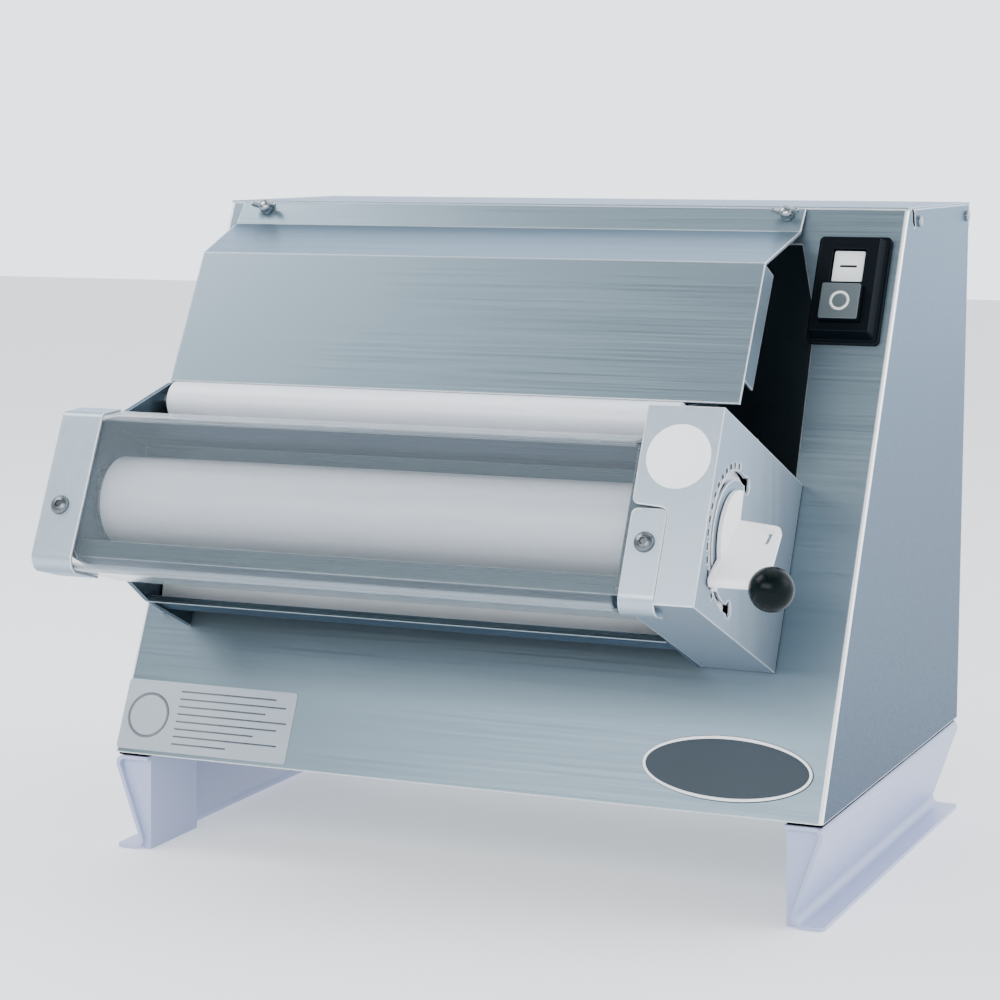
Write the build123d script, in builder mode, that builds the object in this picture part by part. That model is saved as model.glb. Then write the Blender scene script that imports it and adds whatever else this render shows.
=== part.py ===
from build123d import *
import os
from math import atan2, cos, hypot, pi, radians, sin

# Countertop dough sheeter. Millimetres. +Z is up, the operator stands at -Y and
# +X is the operator's right. The origin is the bottom centre of the whole machine.

# ---------------------------------------------------------------- driving dimensions
casing_width = 480.0
casing_depth = 322.0          # at the bottom, front edge to the back
casing_height = 354.4         # sheet-metal body without its feet
foot_height = 64.8
front_lean = 25.3             # the front face leans back from the vertical, degrees
casing_front_y = -113.0       # bottom front edge of the body
sheet = 1.5                   # stainless sheet of the body

roller_radius = 27.75         # working rollers
roller_left = -200.0
roller_right = 147.0
front_roller_up = 136.0       # up the front face, and out from it
front_roller_out = 118.5
rest_gap = 1.56               # dough thickness set at rest
least_gap = 0.4
gap_range = 5.0
lever_range = 196.0           # degrees of lever travel for the whole gap range
lever_rest = -52.5            # lever direction at rest, from straight out towards up
lever_low = -98.0
pivot_up = 135.0              # axis of the lever and of its cams
pivot_out = 114.0

guide_radius = 12.5           # small guide roller at the mouth of the chute
guide_up = 213.5
guide_out = 88.0

cheek = 3.0                   # thickness of the two side cheeks
left_cheek_x = -205.0         # outer faces of the cheeks
right_cheek_x = 152.0
unit_front = 161.5            # front of the roller unit, out from the front face

box_right = 198.0             # gear cover on the right of the roller unit
bracket_left = -228.0         # guard brackets
bracket_inner = -200.0
bracket_right_inner = 153.0
bracket_right = 174.0

lever_x = 198.8               # inner face of the lever's sector plate
knob_radius = 12.75
knob_x = 235.0
cam_plate = 3.0
guard_screw_x = (-215.3, 163.5)
guard_screw_up = 118.2
wing_screw_x = (-209.0, 163.0)
cheek_bolt_x = (-215.0, 161.0)
cheek_bolt_up = (101.0, 165.0, 228.0)
cover_screw_y = (77.0, 201.0)            # side screws of the top cover
rear_screw_z = (90.0, 240.0, 385.0)      # screws of the rear cover

foot_outer = 241.0
foot_inner = 217.6
foot_sheet = 2.5
pad_bottom = 62.4             # underside of the rubber pads
foot_web_width = 25.0
foot_screw_x = 229.5
foot_screw_y = (-60.0, 155.0)
gland_x = 150.0
gland_z = 105.0
louvres = 8
louvre_low = 92.0
louvre_x = -75.0
louvre_width = 150.0

# ---------------------------------------------------------------- derived values
lean_sin = sin(radians(front_lean))
lean_cos = cos(radians(front_lean))
half = casing_width / 2
top_z = foot_height + casing_height
back_y = casing_front_y + casing_depth
slope_length = casing_height / lean_cos
out_of_face = Axis((0, 0, 0), (0, -lean_cos, lean_sin))
cam_pitch = gap_range / lever_range      # roller travel per degree of lever
run = 0.05                               # radial clearance of a running fit
clear = 0.3                              # clearance between moving pieces


def yz(up, out):
    """World Y and Z of a point up the front face and out from it."""
    y = casing_front_y + up * lean_sin - out * lean_cos
    z = foot_height + up * lean_cos + out * lean_sin
    return y, z


def front_plane(out=0.0):
    """Plane on the front face: X to the right, Y up the face, Z out of it."""
    return Plane(origin=(0, *yz(0, out)), x_dir=(1, 0, 0), z_dir=(0, -lean_cos, lean_sin))


def side_plane(x):
    """Plane across the machine at x: local X up the face, local Y out of it, Z to the right."""
    return Plane(origin=(x, *yz(0, 0)), x_dir=(0, lean_sin, lean_cos), z_dir=(1, 0, 0))


def across(x, y, z):
    """Plane across the machine at x with its origin at y, z: local X back, local Y up."""
    return Plane(origin=(x, y, z), x_dir=(0, 1, 0), z_dir=(1, 0, 0))


def slope_edges(part):
    """Edges that run up the lean of the front face."""
    return part.edges().filter_by(Axis((0, 0, 0), (0, lean_sin, lean_cos)))


def ring(plane, outer, inner=0.0):
    """Section of a tube, or of a rod, on a plane."""
    with BuildSketch(plane) as section:
        Circle(outer)
        if inner:
            Circle(inner, mode=Mode.SUBTRACT)
    return section.sketch


def bent_strip(plane, points, thick, radii, side):
    """Section of a bent sheet: a filleted path with its thickness on one side."""
    with BuildSketch(plane) as section:
        with BuildLine():
            path = FilletPolyline(*points, radius=radii)
            offset(path, amount=thick, side=side)
        make_face()
    return section.sketch


front_y, front_z = yz(front_roller_up, front_roller_out)
rear_y = front_y + 2 * roller_radius + rest_gap
rear_z = front_z
pivot_y, pivot_z = yz(pivot_up, pivot_out)
guide_y, guide_z = yz(guide_up, guide_out)

closing = rest_gap - least_gap            # travel towards the rear roller
opening = gap_range - closing             # travel away from it

os.makedirs("parts", exist_ok=True)


def save(builder, name):
    builder.part.label = name
    export_step(builder.part, f"parts/{name}.step")


# ================================================================ casing
void_front = [yz(-40, -sheet), yz(slope_length + 40, -sheet)]
with BuildPart() as casing_void:
    with BuildSketch(Plane.YZ.offset(-half + sheet)):
        Polygon(*void_front, (back_y + 40, top_z + 40), (back_y + 40, foot_height - 40), align=None)
    extrude(amount=casing_width - 2 * sheet)
    fillet(slope_edges(casing_void.part).group_by(Axis.Y)[0], 1.5)

relief_outline = [
    (3.2, 1), (8.6, 1), (13.4, -3.4), (14, -8.5), (16, -12), (13.4, -13.4), (8, -9.4), (7.2, -4)]
opening_right = [(193.0, 204), (190.0, 304), (187.6, 322), (174.5, 366)]
with BuildPart() as casing_shell:
    with BuildSketch(Plane.YZ.offset(-half)):
        Polygon(yz(0, 0), yz(slope_length, 0), (back_y, top_z), (back_y, foot_height), align=None)
    extrude(amount=casing_width)
    fillet(slope_edges(casing_shell.part).group_by(Axis.Y)[0], 3.0)
    add(casing_void.part, mode=Mode.SUBTRACT)
    # the top cover lies on the body, so the body stops one sheet below it
    with BuildSketch(Plane.XY.offset(top_z - sheet)):
        Rectangle(2 * casing_width, 4 * casing_depth)
    extrude(amount=20, mode=Mode.SUBTRACT)
    # opening behind the chute, and the drive's way out into the gear cover
    with BuildSketch(front_plane(-10)):
        Polygon((60, 204), *opening_right, (60, 366), align=None)
    extrude(amount=20, mode=Mode.SUBTRACT)
    with BuildSketch(front_plane(-10)):
        with Locations((177.5, 152)):
            Rectangle(20, 110)
        with Locations(*[(x, up) for x in cheek_bolt_x for up in cheek_bolt_up]):
            Circle(3.1)
    extrude(amount=20, mode=Mode.SUBTRACT)
    # seats of the switch and of the two wing screws
    with BuildSketch(front_plane(-10)):
        with Locations((210, 334.5)):
            Rectangle(36, 61)
        with Locations((-209, 385), (163, 385)):
            Circle(2.6)
    extrude(amount=20, mode=Mode.SUBTRACT)
    # relief slots at the front ends of the top cover's flanges
    with BuildSketch(Plane.YZ.offset(-half - 5)):
        with Locations(yz(slope_length, 0)):
            Polygon(*relief_outline, align=None)
    extrude(amount=casing_width + 10, mode=Mode.SUBTRACT)
    # back flanges that carry the rear cover
    for side in (-1, 1):
        with BuildSketch(Plane.XZ.offset(-back_y)):
            with Locations((side * (half - 9), foot_height + casing_height / 2 - sheet / 2)):
                Rectangle(18, casing_height - sheet - 4)
        extrude(amount=sheet)
    with BuildSketch(Plane.XZ.offset(-back_y - 5)):
        with Locations(*[(side * (half - 9), z) for side in (-1, 1) for z in rear_screw_z]):
            Circle(2.1)
    extrude(amount=10, mode=Mode.SUBTRACT)
    for y in cover_screw_y:
        with BuildSketch(across(-half - 5, y, top_z - 9)):
            Circle(2.1)
        extrude(amount=casing_width + 10, mode=Mode.SUBTRACT)
save(casing_shell, "casing_shell")

# top cover: flat top with flanges down inside both sides, and outside the back
flange = 17.0
notch = 20.0
cover_front = slope_length - sheet / lean_cos
cover_front_y = yz(slope_length, 0)[0]
side_gap = 0.2
rear_gap = 0.1
with BuildPart() as top_cover:
    with BuildSketch(Plane.YZ.offset(-half)):
        Polygon(
            yz(cover_front, 0), yz(slope_length, 0), (back_y + rear_gap + sheet, top_z),
            (back_y + rear_gap + sheet, top_z - flange), (back_y + rear_gap, top_z - flange),
            (back_y + rear_gap, top_z - sheet), align=None)
    extrude(amount=casing_width)
    for start in (-half + sheet + side_gap, half - 2 * sheet - side_gap):
        with BuildSketch(Plane.YZ.offset(start)):
            Polygon(
                (cover_front_y + notch, top_z - sheet / 2), (back_y - sheet - side_gap, top_z - sheet / 2),
                (back_y - sheet - side_gap, top_z - flange), (cover_front_y + notch - 4, top_z - flange),
                align=None)
        extrude(amount=sheet)
    fillet(top_cover.edges().filter_by(Axis.X).group_by(Axis.Z)[-1].sort_by(Axis.Y)[0], 1.2)
    for y in cover_screw_y:
        with BuildSketch(across(-half - 5, y, top_z - 9)):
            Circle(2.1)
        extrude(amount=casing_width + 10, mode=Mode.SUBTRACT)
save(top_cover, "top_cover")

# bottom pan with upturned sides and back
pan_front = casing_front_y + 3.6
pan_half = half - sheet - 0.2
pan_depth = back_y - pan_front
with BuildPart() as base_plate:
    with BuildSketch(Plane.XY.offset(foot_height)):
        with Locations((0, pan_front + pan_depth / 2)):
            Rectangle(2 * pan_half, pan_depth)
    extrude(amount=sheet)
    with BuildSketch(Plane.XY.offset(foot_height)):
        for side in (-1, 1):
            with Locations((side * (pan_half - sheet / 2), 40)):
                Rectangle(sheet, 270)
        with Locations((0, back_y - sheet / 2)):
            Rectangle(2 * half - 40, sheet)
    extrude(amount=16)
    with BuildSketch(Plane.XY.offset(foot_height - 1)):
        with Locations(*[(x, y) for x in (-foot_screw_x, foot_screw_x) for y in foot_screw_y]):
            Circle(3.2)
        with GridLocations(0, 16, 1, 8):
            SlotOverall(120, 5)
    extrude(amount=4, mode=Mode.SUBTRACT)
save(base_plate, "base_plate")

# back panel with a bank of louvres beside the motor
rear_sheet = 1.2
rear_top = top_z - flange - 0.4
with BuildPart() as rear_cover:
    with BuildSketch(Plane.XZ.offset(-back_y - rear_sheet)):
        with Locations((0, (foot_height + 0.6 + rear_top) / 2)):
            Rectangle(casing_width - 2, rear_top - foot_height - 0.6)
    extrude(amount=rear_sheet)
    with BuildSketch(Plane.XZ.offset(-back_y - 5)):
        with Locations(*[(side * (half - 9), z) for side in (-1, 1) for z in rear_screw_z]):
            Circle(2.1)
        with Locations((gland_x, gland_z)):
            Circle(8.2)
        with Locations(*[(louvre_x, louvre_low + 14 * k) for k in range(louvres)]):
            Rectangle(louvre_width, 4)
    extrude(amount=10, mode=Mode.SUBTRACT)
    # a hood over each slot, open below
    with BuildSketch(Plane.YZ.offset(louvre_x - louvre_width / 2 - 2)):
        for k in range(louvres):
            low = louvre_low + 14 * k - 2
            Polygon(
                (back_y + rear_sheet - 0.2, low + 6.2), (back_y + rear_sheet + 4, low + 1),
                (back_y + rear_sheet + 4, low), (back_y + rear_sheet + 3, low),
                (back_y + rear_sheet + 3, low + 0.6), (back_y + rear_sheet - 0.2, low + 4.6),
                align=None)
    extrude(amount=louvre_width + 4)
save(rear_cover, "rear_cover")

# screws of both covers
with BuildPart() as casing_screws:
    for side in (-1, 1):
        for y in cover_screw_y:
            head = across(side * half, y, top_z - 9)
            with BuildSketch(head):
                Circle(3.6)
            extrude(amount=side * 2.4)
            with BuildSketch(head):
                Circle(2.0)
            extrude(amount=-side * 7)
        for z in rear_screw_z:
            with BuildSketch(Plane.XZ.offset(-back_y - rear_sheet)):
                with Locations((side * (half - 9), z)):
                    Circle(3.6)
            extrude(amount=-2.4)
            with BuildSketch(Plane.XZ.offset(-back_y - rear_sheet)):
                with Locations((side * (half - 9), z)):
                    Circle(2.0)
            extrude(amount=7)
    fillet(casing_screws.faces().filter_by(Axis.X).sort_by(Axis.X)[-2:].edges(), 1.0)
    fillet(casing_screws.faces().filter_by(Axis.X).sort_by(Axis.X)[:2].edges(), 1.0)
save(casing_screws, "casing_screws")


# ================================================================ feet
# the right foot: one bent sheet of top flange, slanting web and floor flange, closed by two
# gussets that stand back from its ends
foot_front = casing_front_y + 2
foot_length = casing_depth + 2
top_inner = foot_outer - foot_web_width
gusset_inset = 4.0
gusset_depth = 60.0
foot_ends = ((foot_front + gusset_inset, 1), (foot_front + foot_length - gusset_inset, -1))
with BuildPart() as right_foot:
    foot_path = [
        (top_inner, pad_bottom - foot_sheet), (foot_outer - 2.7, pad_bottom - foot_sheet),
        (foot_inner + 0.5, 0), (foot_outer, 0)]
    foot_section = bent_strip(Plane.XZ.offset(-foot_front), foot_path, foot_sheet, (3, 7), Side.LEFT)
    extrude(foot_section, amount=-foot_length)
    fillet(right_foot.edges().filter_by(Axis.Z).group_by(Axis.X)[-1], 4)
    for start, way in foot_ends:
        with BuildSketch(Plane.XZ.offset(-start)):
            Polygon(
                (foot_outer - 3, pad_bottom - 1), (top_inner, pad_bottom - 1), (foot_inner - 0.5, 0),
                (foot_inner + 4.5, 0), (foot_inner + 4.5, 3), align=None)
        extrude(amount=-way * foot_sheet)
        with BuildSketch(Plane.XZ.offset(-start)):
            Polygon(
                (top_inner, pad_bottom - 1), (top_inner + foot_sheet, pad_bottom - 1),
                (foot_inner + foot_sheet - 0.5, 0), (foot_inner - 0.5, 0), align=None)
        extrude(amount=-way * gusset_depth)
    with BuildSketch(Plane.XY.offset(pad_bottom - 10)):
        with Locations(*[(foot_screw_x, y) for y in foot_screw_y]):
            Circle(3.2)
    extrude(amount=20, mode=Mode.SUBTRACT)
save(right_foot, "right_foot")

with BuildPart() as left_foot:
    mirror(right_foot.part, about=Plane.YZ)
save(left_foot, "left_foot")

with BuildPart() as foot_pads:
    for side in (-1, 1):
        with BuildSketch(Plane.XY.offset(pad_bottom)):
            with Locations((side * (foot_outer - 13), casing_front_y + casing_depth / 2 + 1)):
                Rectangle(21, casing_depth - 6)
            with Locations(*[(side * foot_screw_x, y) for y in foot_screw_y]):
                Circle(3.2, mode=Mode.SUBTRACT)
        extrude(amount=foot_height - pad_bottom)
save(foot_pads, "foot_pads")

with BuildPart() as foot_screws:
    for x in (-foot_screw_x, foot_screw_x):
        for y in foot_screw_y:
            with BuildSketch(Plane.XY.offset(pad_bottom - foot_sheet - 4)):
                with Locations((x, y)):
                    RegularPolygon(5, 6)
            extrude(amount=4)
            with BuildSketch(Plane.XY.offset(pad_bottom - foot_sheet)):
                with Locations((x, y)):
                    Circle(3.0)
            extrude(amount=14)
            with BuildSketch(Plane.XY.offset(foot_height + sheet)):
                with Locations((x, y)):
                    RegularPolygon(5, 6)
            extrude(amount=4)
save(foot_screws, "foot_screws")


# ================================================================ dough path
chute_left = -204.0
chute_right = 180.0
shelf_left = -229.0
shelf_right = 174.0
with BuildPart() as chute_plate:
    with BuildSketch(side_plane(shelf_left)):
        Polygon(
            (227.5, 87), (320, 80), (372, 6), (390, 1.7), (390, 0.2), (371, 4.4), (319, 78.5),
            (227.5, 85.4), align=None)
    extrude(amount=chute_right - shelf_left)
    with BuildSketch(front_plane(-20)):
        Polygon(
            (chute_left, 200), (chute_right, 200), (chute_right, 320), (shelf_right, 371),
            (shelf_right, 400), (shelf_left, 400), (shelf_left, 371), (chute_left, 320), align=None)
    extrude(amount=140, mode=Mode.INTERSECT)
    # side flanges turned back
    for start in (chute_left, chute_right - sheet):
        with BuildSketch(side_plane(start)):
            Polygon((243, 85), (319, 79), (319, 62), (243, 68), align=None)
        extrude(amount=sheet)
    with BuildSketch(front_plane(-5)):
        with Locations(*[(x, 385) for x in wing_screw_x]):
            Circle(2.6)
    extrude(amount=20, mode=Mode.SUBTRACT)
save(chute_plate, "chute_plate")

with BuildPart() as wing_screws:
    for x in wing_screw_x:
        with BuildSketch(front_plane(-9)):
            with Locations((x, 385)):
                Circle(2.5)
        extrude(amount=15)
        with BuildSketch(front_plane(4.3)):
            with Locations((x, 385)):
                Circle(4.6)
        extrude(amount=4)
        with BuildSketch(front_plane(5.2)):
            with Locations((x, 385)):
                SlotOverall(15, 3)
        extrude(amount=8)
save(wing_screws, "wing_screws")

inner_left = left_cheek_x + cheek + 0.2
inner_width = right_cheek_x - cheek - 0.2 - inner_left
with BuildPart() as hopper_ramp:
    with BuildSketch(side_plane(inner_left)):
        Polygon(
            (177, 151.5), (178.5, 103), (171, 100), (171.5, 98.9), (179.7, 102.2), (178.2, 151.5),
            align=None)
    extrude(amount=inner_width)
save(hopper_ramp, "hopper_ramp")

with BuildPart() as exit_deflector:
    with BuildSketch(side_plane(inner_left)):
        Polygon(
            (90, 34), (90, 60), (87, 60), (87, 61.5), (91.5, 61.5), (91.5, 35.5), (110, 35.5), (110, 34),
            align=None)
    extrude(amount=inner_width)
save(exit_deflector, "exit_deflector")

with BuildPart() as lower_beam:
    with BuildSketch(side_plane(inner_left)):
        Polygon(
            (101, 140), (101, 150), (90, 150), (90, 112), (91.5, 112), (91.5, 148.5), (99.5, 148.5),
            (99.5, 140), align=None)
    extrude(amount=inner_width)
save(lower_beam, "lower_beam")

# scraper blades stand end-on to the rollers, under their axes
front_tip = (front_roller_up - (roller_radius + 0.5) * lean_cos,
             front_roller_out - (roller_radius + 0.5) * lean_sin)
rear_up = front_roller_up + (2 * roller_radius + rest_gap) * lean_sin
rear_out = front_roller_out - (2 * roller_radius + rest_gap) * lean_cos
rear_tip = (rear_up - (roller_radius + 0.5) * lean_cos, rear_out - (roller_radius + 0.5) * lean_sin)
for name, tip, root in (
        ("front_scraper", front_tip, (91.6, 114)), ("rear_scraper", rear_tip, (91.6, 45))):
    with BuildPart() as scraper:
        with BuildSketch(side_plane(inner_left + 1)):
            Polygon(
                tip, (tip[0] - 0.3, tip[1] + 1), (root[0], root[1] + 1.2), root, align=None)
        extrude(amount=inner_width - 2)
    save(scraper, name)


# ================================================================ roller unit
slot_half_height = 21.8
boss_radius = 24.0
cheek_outline = [
    (88, 1.6), (88, 60), (93.5, 90), (93.5, 98), (88.5, 121), (88.5, 150), (92, 156.5), (174.5, 156.5),
    (184.5, 139), (225.5, 88), (240, 60), (240, 1.6)]
for x, way, name in ((left_cheek_x, 1, "left_cheek"), (right_cheek_x - cheek, -1, "right_cheek")):
    outer = x if way > 0 else x + cheek
    reach = 21 if way > 0 else 14
    with BuildPart() as side_cheek:
        with BuildSketch(side_plane(x)):
            Polygon(*cheek_outline, align=None)
        extrude(amount=cheek)
        # rear flange on the body, and the front flange behind the guard
        with BuildSketch(side_plane(outer)):
            Polygon((95, 1.6), (235, 1.6), (235, 3.6), (95, 3.6), align=None)
        extrude(amount=-way * reach)
        with BuildSketch(side_plane(outer)):
            Polygon((95, 154.8), (172, 154.8), (172, 156.5), (95, 156.5), align=None)
        extrude(amount=-way * 20.5)
        # slot of the carriage, holes of the rear bush and the guide axle
        with BuildSketch(across(x - 1, front_y, front_z)):
            with Locations((-opening, 0), (closing, 0)):
                Circle(boss_radius + clear)
            Rectangle(2 * boss_radius, 2 * slot_half_height + 2 * clear)
            Rectangle(90, 2 * slot_half_height + 2 * clear, mode=Mode.INTERSECT)
        extrude(amount=cheek + 2, mode=Mode.SUBTRACT)
        with BuildSketch(across(x - 1, rear_y, rear_z)):
            Circle(13)
        extrude(amount=cheek + 2, mode=Mode.SUBTRACT)
        with BuildSketch(across(x - 1, guide_y, guide_z)):
            Circle(4)
        extrude(amount=cheek + 2, mode=Mode.SUBTRACT)
        with BuildSketch(front_plane(0)):
            with Locations(*[(bolt_x, up) for bolt_x in cheek_bolt_x for up in cheek_bolt_up]):
                Circle(3.1)
        extrude(amount=10, mode=Mode.SUBTRACT)
        with BuildSketch(front_plane(150)):
            with Locations(*[(screw_x, guard_screw_up) for screw_x in guard_screw_x]):
                Circle(3.1)
        extrude(amount=10, mode=Mode.SUBTRACT)
    save(side_cheek, name)

with BuildPart() as cheek_bolts:
    for x in cheek_bolt_x:
        for up in cheek_bolt_up:
            with BuildSketch(front_plane(3.6)):
                with Locations((x, up)):
                    RegularPolygon(5, 6)
            extrude(amount=4)
            with BuildSketch(front_plane(-8)):
                with Locations((x, up)):
                    Circle(3)
            extrude(amount=13)
save(cheek_bolts, "cheek_bolts")


roller_length = roller_right - roller_left
core_radius = 17.5
core_bore = 14.0
shaft_radius = 8.0
with BuildPart() as front_roller_sleeve:
    extrude(ring(across(roller_left, front_y, front_z), roller_radius, core_radius), amount=roller_length)
    chamfer(front_roller_sleeve.edges().filter_by(GeomType.CIRCLE).group_by(SortBy.RADIUS)[-1], 1)
save(front_roller_sleeve, "front_roller_sleeve")

with BuildPart() as front_roller_core:
    extrude(ring(across(-211.4, front_y, front_z), core_radius, core_bore), amount=211.4 + 169.5)
save(front_roller_core, "front_roller_core")

with BuildPart() as rear_roller_sleeve:
    extrude(ring(across(roller_left, rear_y, rear_z), roller_radius, shaft_radius), amount=roller_length)
    chamfer(rear_roller_sleeve.edges().filter_by(GeomType.CIRCLE).group_by(SortBy.RADIUS)[-1], 1)
save(rear_roller_sleeve, "rear_roller_sleeve")

with BuildPart() as rear_roller_shaft:
    extrude(ring(across(left_cheek_x + 0.1, rear_y, rear_z), shaft_radius), amount=178 - left_cheek_x - 0.1)
save(rear_roller_shaft, "rear_roller_shaft")

with BuildPart() as rear_roller_bushes:
    extrude(ring(across(left_cheek_x, rear_y, rear_z), 13, shaft_radius + run), amount=4.6)
    extrude(ring(across(right_cheek_x - 4.6, rear_y, rear_z), 13, shaft_radius + run), amount=7.4)
    extrude(ring(across(right_cheek_x, rear_y, rear_z), 17, shaft_radius + run), amount=2.5)
save(rear_roller_bushes, "rear_roller_bushes")

guide_left = -196.0
with BuildPart() as guide_roller_sleeve:
    guide_section = ring(across(guide_left, guide_y, guide_z), guide_radius, 4 + run)
    extrude(guide_section, amount=roller_right - guide_left)
    chamfer(guide_roller_sleeve.edges().filter_by(GeomType.CIRCLE).group_by(SortBy.RADIUS)[-1], 0.6)
save(guide_roller_sleeve, "guide_roller_sleeve")

with BuildPart() as guide_roller_axle:
    extrude(ring(across(left_cheek_x - 1.5, guide_y, guide_z), 4), amount=right_cheek_x - left_cheek_x + 3)
save(guide_roller_axle, "guide_roller_axle")

# carriages: a boss in the cheek's slot, a plate outside it and an arm with the cam pin
carriage_plate = 5.0
plate_gap = 1.0
bearing_radius = 21.0
pin_radius = 2.0
cam_radius = {"left": 24.0, "right": 37.2}     # pin to pivot at rest
carriages = (
    ("left", left_cheek_x - plate_gap, -1, 3.0 + plate_gap - 0.3, -cam_plate - 2),
    ("right", right_cheek_x + plate_gap, 1, 3.0 + plate_gap - 0.3, 188.4 - right_cheek_x - plate_gap - 5))
for side, x, way, boss, pin in carriages:
    pin_back = pivot_y - cam_radius[side] - front_y
    pin_up = pivot_z - front_z
    arm = Vector(pin_back, pin_up)
    with BuildPart() as carriage:
        with BuildSketch(across(x, front_y, front_z)):
            Circle(28)
            with BuildLine():
                angle = atan2(pin_up, pin_back)
                nose = 3.6
                normal = Vector(-sin(angle), cos(angle)) * nose
                Polyline(normal * 3, arm + normal, arm - normal, normal * -3, close=True)
            make_face()
            with Locations(arm):
                Circle(nose)
        extrude(amount=way * carriage_plate)
        with BuildSketch(across(x, front_y, front_z)):
            Circle(boss_radius)
            Rectangle(60, 2 * slot_half_height, mode=Mode.INTERSECT)
        extrude(amount=-way * boss)
        with BuildSketch(across(x + way * 40, front_y, front_z)):
            Circle(bearing_radius)
        extrude(amount=-way * 80, mode=Mode.SUBTRACT)
        with BuildSketch(across(x + way * carriage_plate, front_y, front_z)):
            with Locations(arm):
                Circle(pin_radius)
        extrude(amount=pin)
    save(carriage, f"{side}_carriage")

with BuildPart() as front_roller_bearings:
    for side, x, way, boss, pin in carriages:
        bearing = ring(across(x - way * boss, front_y, front_z), bearing_radius, core_radius + run)
        extrude(bearing, amount=way * (boss + carriage_plate))
save(front_roller_bearings, "front_roller_bearings")


# ================================================================ gears, chain and cams
def toothed(teeth, root, tip, root_half, tip_half, phase=0.0):
    """Outline of a straight-flanked gear or sprocket; the half angles are in degrees."""
    points = []
    for k in range(teeth):
        middle = phase + 360 * k / teeth
        for radius, turn in ((root, -root_half), (tip, -tip_half), (tip, tip_half), (root, root_half)):
            angle = radians(middle + turn)
            points.append((radius * cos(angle), radius * sin(angle)))
    return points


gear_x = 160.0
gear_width = 8.0
for name, y, z, bore, phase in (
        ("front_roller_gear", front_y, front_z, core_radius, 0),
        ("rear_roller_gear", rear_y, rear_z, shaft_radius, 15)):
    with BuildPart() as gear:
        with BuildSketch(across(gear_x, y, z)):
            Polygon(*toothed(12, 24, 31, 8.0, 2.8, phase), align=None)
            Circle(bore, mode=Mode.SUBTRACT)
        extrude(amount=gear_width)
    save(gear, name)

sprocket_x = 171.5
sprocket_width = 4.0
sprocket_radius = 18.0
output_y = 37.0
output_z = 170.0
for name, y, z, bore in (
        ("driven_sprocket", rear_y, rear_z, shaft_radius), ("drive_sprocket", output_y, output_z, 7.0)):
    with BuildPart() as sprocket:
        with BuildSketch(across(sprocket_x, y, z)):
            Polygon(*toothed(14, sprocket_radius - 2.6, sprocket_radius + 1.2, 7.0, 3.0), align=None)
            Circle(bore, mode=Mode.SUBTRACT)
        extrude(amount=sprocket_width)
    save(sprocket, name)

# the chain runs outside the teeth's tips as two side straps around both sprockets
chain_inner = sprocket_radius + 1.6
chain_outer = sprocket_radius + 4.6
chain_y = (rear_y + output_y) / 2
chain_z = (rear_z + output_z) / 2
chain_reach = hypot(output_y - rear_y, output_z - rear_z)
chain_slope = atan2(output_z - rear_z, output_y - rear_y)
chain_plane = Plane(
    origin=(sprocket_x - 1, chain_y, chain_z), x_dir=(0, cos(chain_slope), sin(chain_slope)),
    z_dir=(1, 0, 0))
with BuildPart() as drive_chain:
    with BuildSketch(chain_plane):
        SlotCenterToCenter(chain_reach, 2 * chain_outer)
        SlotCenterToCenter(chain_reach, 2 * chain_inner, mode=Mode.SUBTRACT)
    extrude(amount=sprocket_width + 2)
save(drive_chain, "drive_chain")

pin_direction = -front_lean             # from straight out towards up, degrees
low_turn = lever_low - lever_rest       # lever travel from rest
high_turn = low_turn + lever_range


def cam_point(radius, turn):
    """Up and out of the cam's slot where the pin sits when the lever has turned this far."""
    angle = radians(pin_direction - turn)
    return pivot_up + radius * sin(angle), pivot_out + radius * cos(angle)


def spiral(base, extra, first, last, steps=14):
    """Points of the cam's spiral, moved outwards by extra, between two lever angles."""
    turns = [first + (last - first) * k / steps for k in range(steps + 1)]
    return [cam_point(base + cam_pitch * turn + extra, turn) for turn in turns]


slot_half = pin_radius + 0.3
rim = slot_half + 1.9
cam_hub = 11.0
sync_radius = 5.0
for side, x in (("left", -214.6), ("right", 184.8)):
    base = cam_radius[side]
    over = 8.0                          # extra slot at both ends, degrees of lever
    edge = 9.0
    slot_outer = spiral(base, slot_half, low_turn - over, high_turn + over)
    slot_inner = spiral(base, -slot_half, low_turn - over, high_turn + over)
    outline = spiral(base, rim, low_turn - over - edge, high_turn + over + edge)
    with BuildPart() as cam:
        with BuildSketch(side_plane(x)):
            with BuildLine():
                Spline(*outline)
                Polyline(outline[-1], (pivot_up, pivot_out), outline[0])
            make_face()
            with Locations((pivot_up, pivot_out)):
                Circle(cam_hub)
            with BuildLine():
                Spline(*slot_outer)
                Spline(*slot_inner)
                Line(slot_outer[0], slot_inner[0])
                Line(slot_outer[-1], slot_inner[-1])
            make_face(mode=Mode.SUBTRACT)
            with Locations((pivot_up, pivot_out)):
                Circle(sync_radius, mode=Mode.SUBTRACT)
        extrude(amount=cam_plate)
        with BuildSketch(side_plane(x)):
            with Locations((pivot_up, pivot_out)):
                Circle(cam_hub - 2)
                Circle(sync_radius, mode=Mode.SUBTRACT)
        extrude(amount=cam_plate + 2 if side == "right" else -2)
    save(cam, f"{side}_cam")

with BuildPart() as sync_shaft:
    extrude(ring(across(-223.6, pivot_y, pivot_z), sync_radius), amount=223.6 + lever_x + 2.5)
save(sync_shaft, "sync_shaft")

with BuildPart() as sync_shaft_bushes:
    extrude(ring(across(-224.4, pivot_y, pivot_z), 8, sync_radius + run), amount=5)
    extrude(ring(across(box_right - 5, pivot_y, pivot_z), 8, sync_radius + run), amount=5.3)
save(sync_shaft_bushes, "sync_shaft_bushes")


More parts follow.
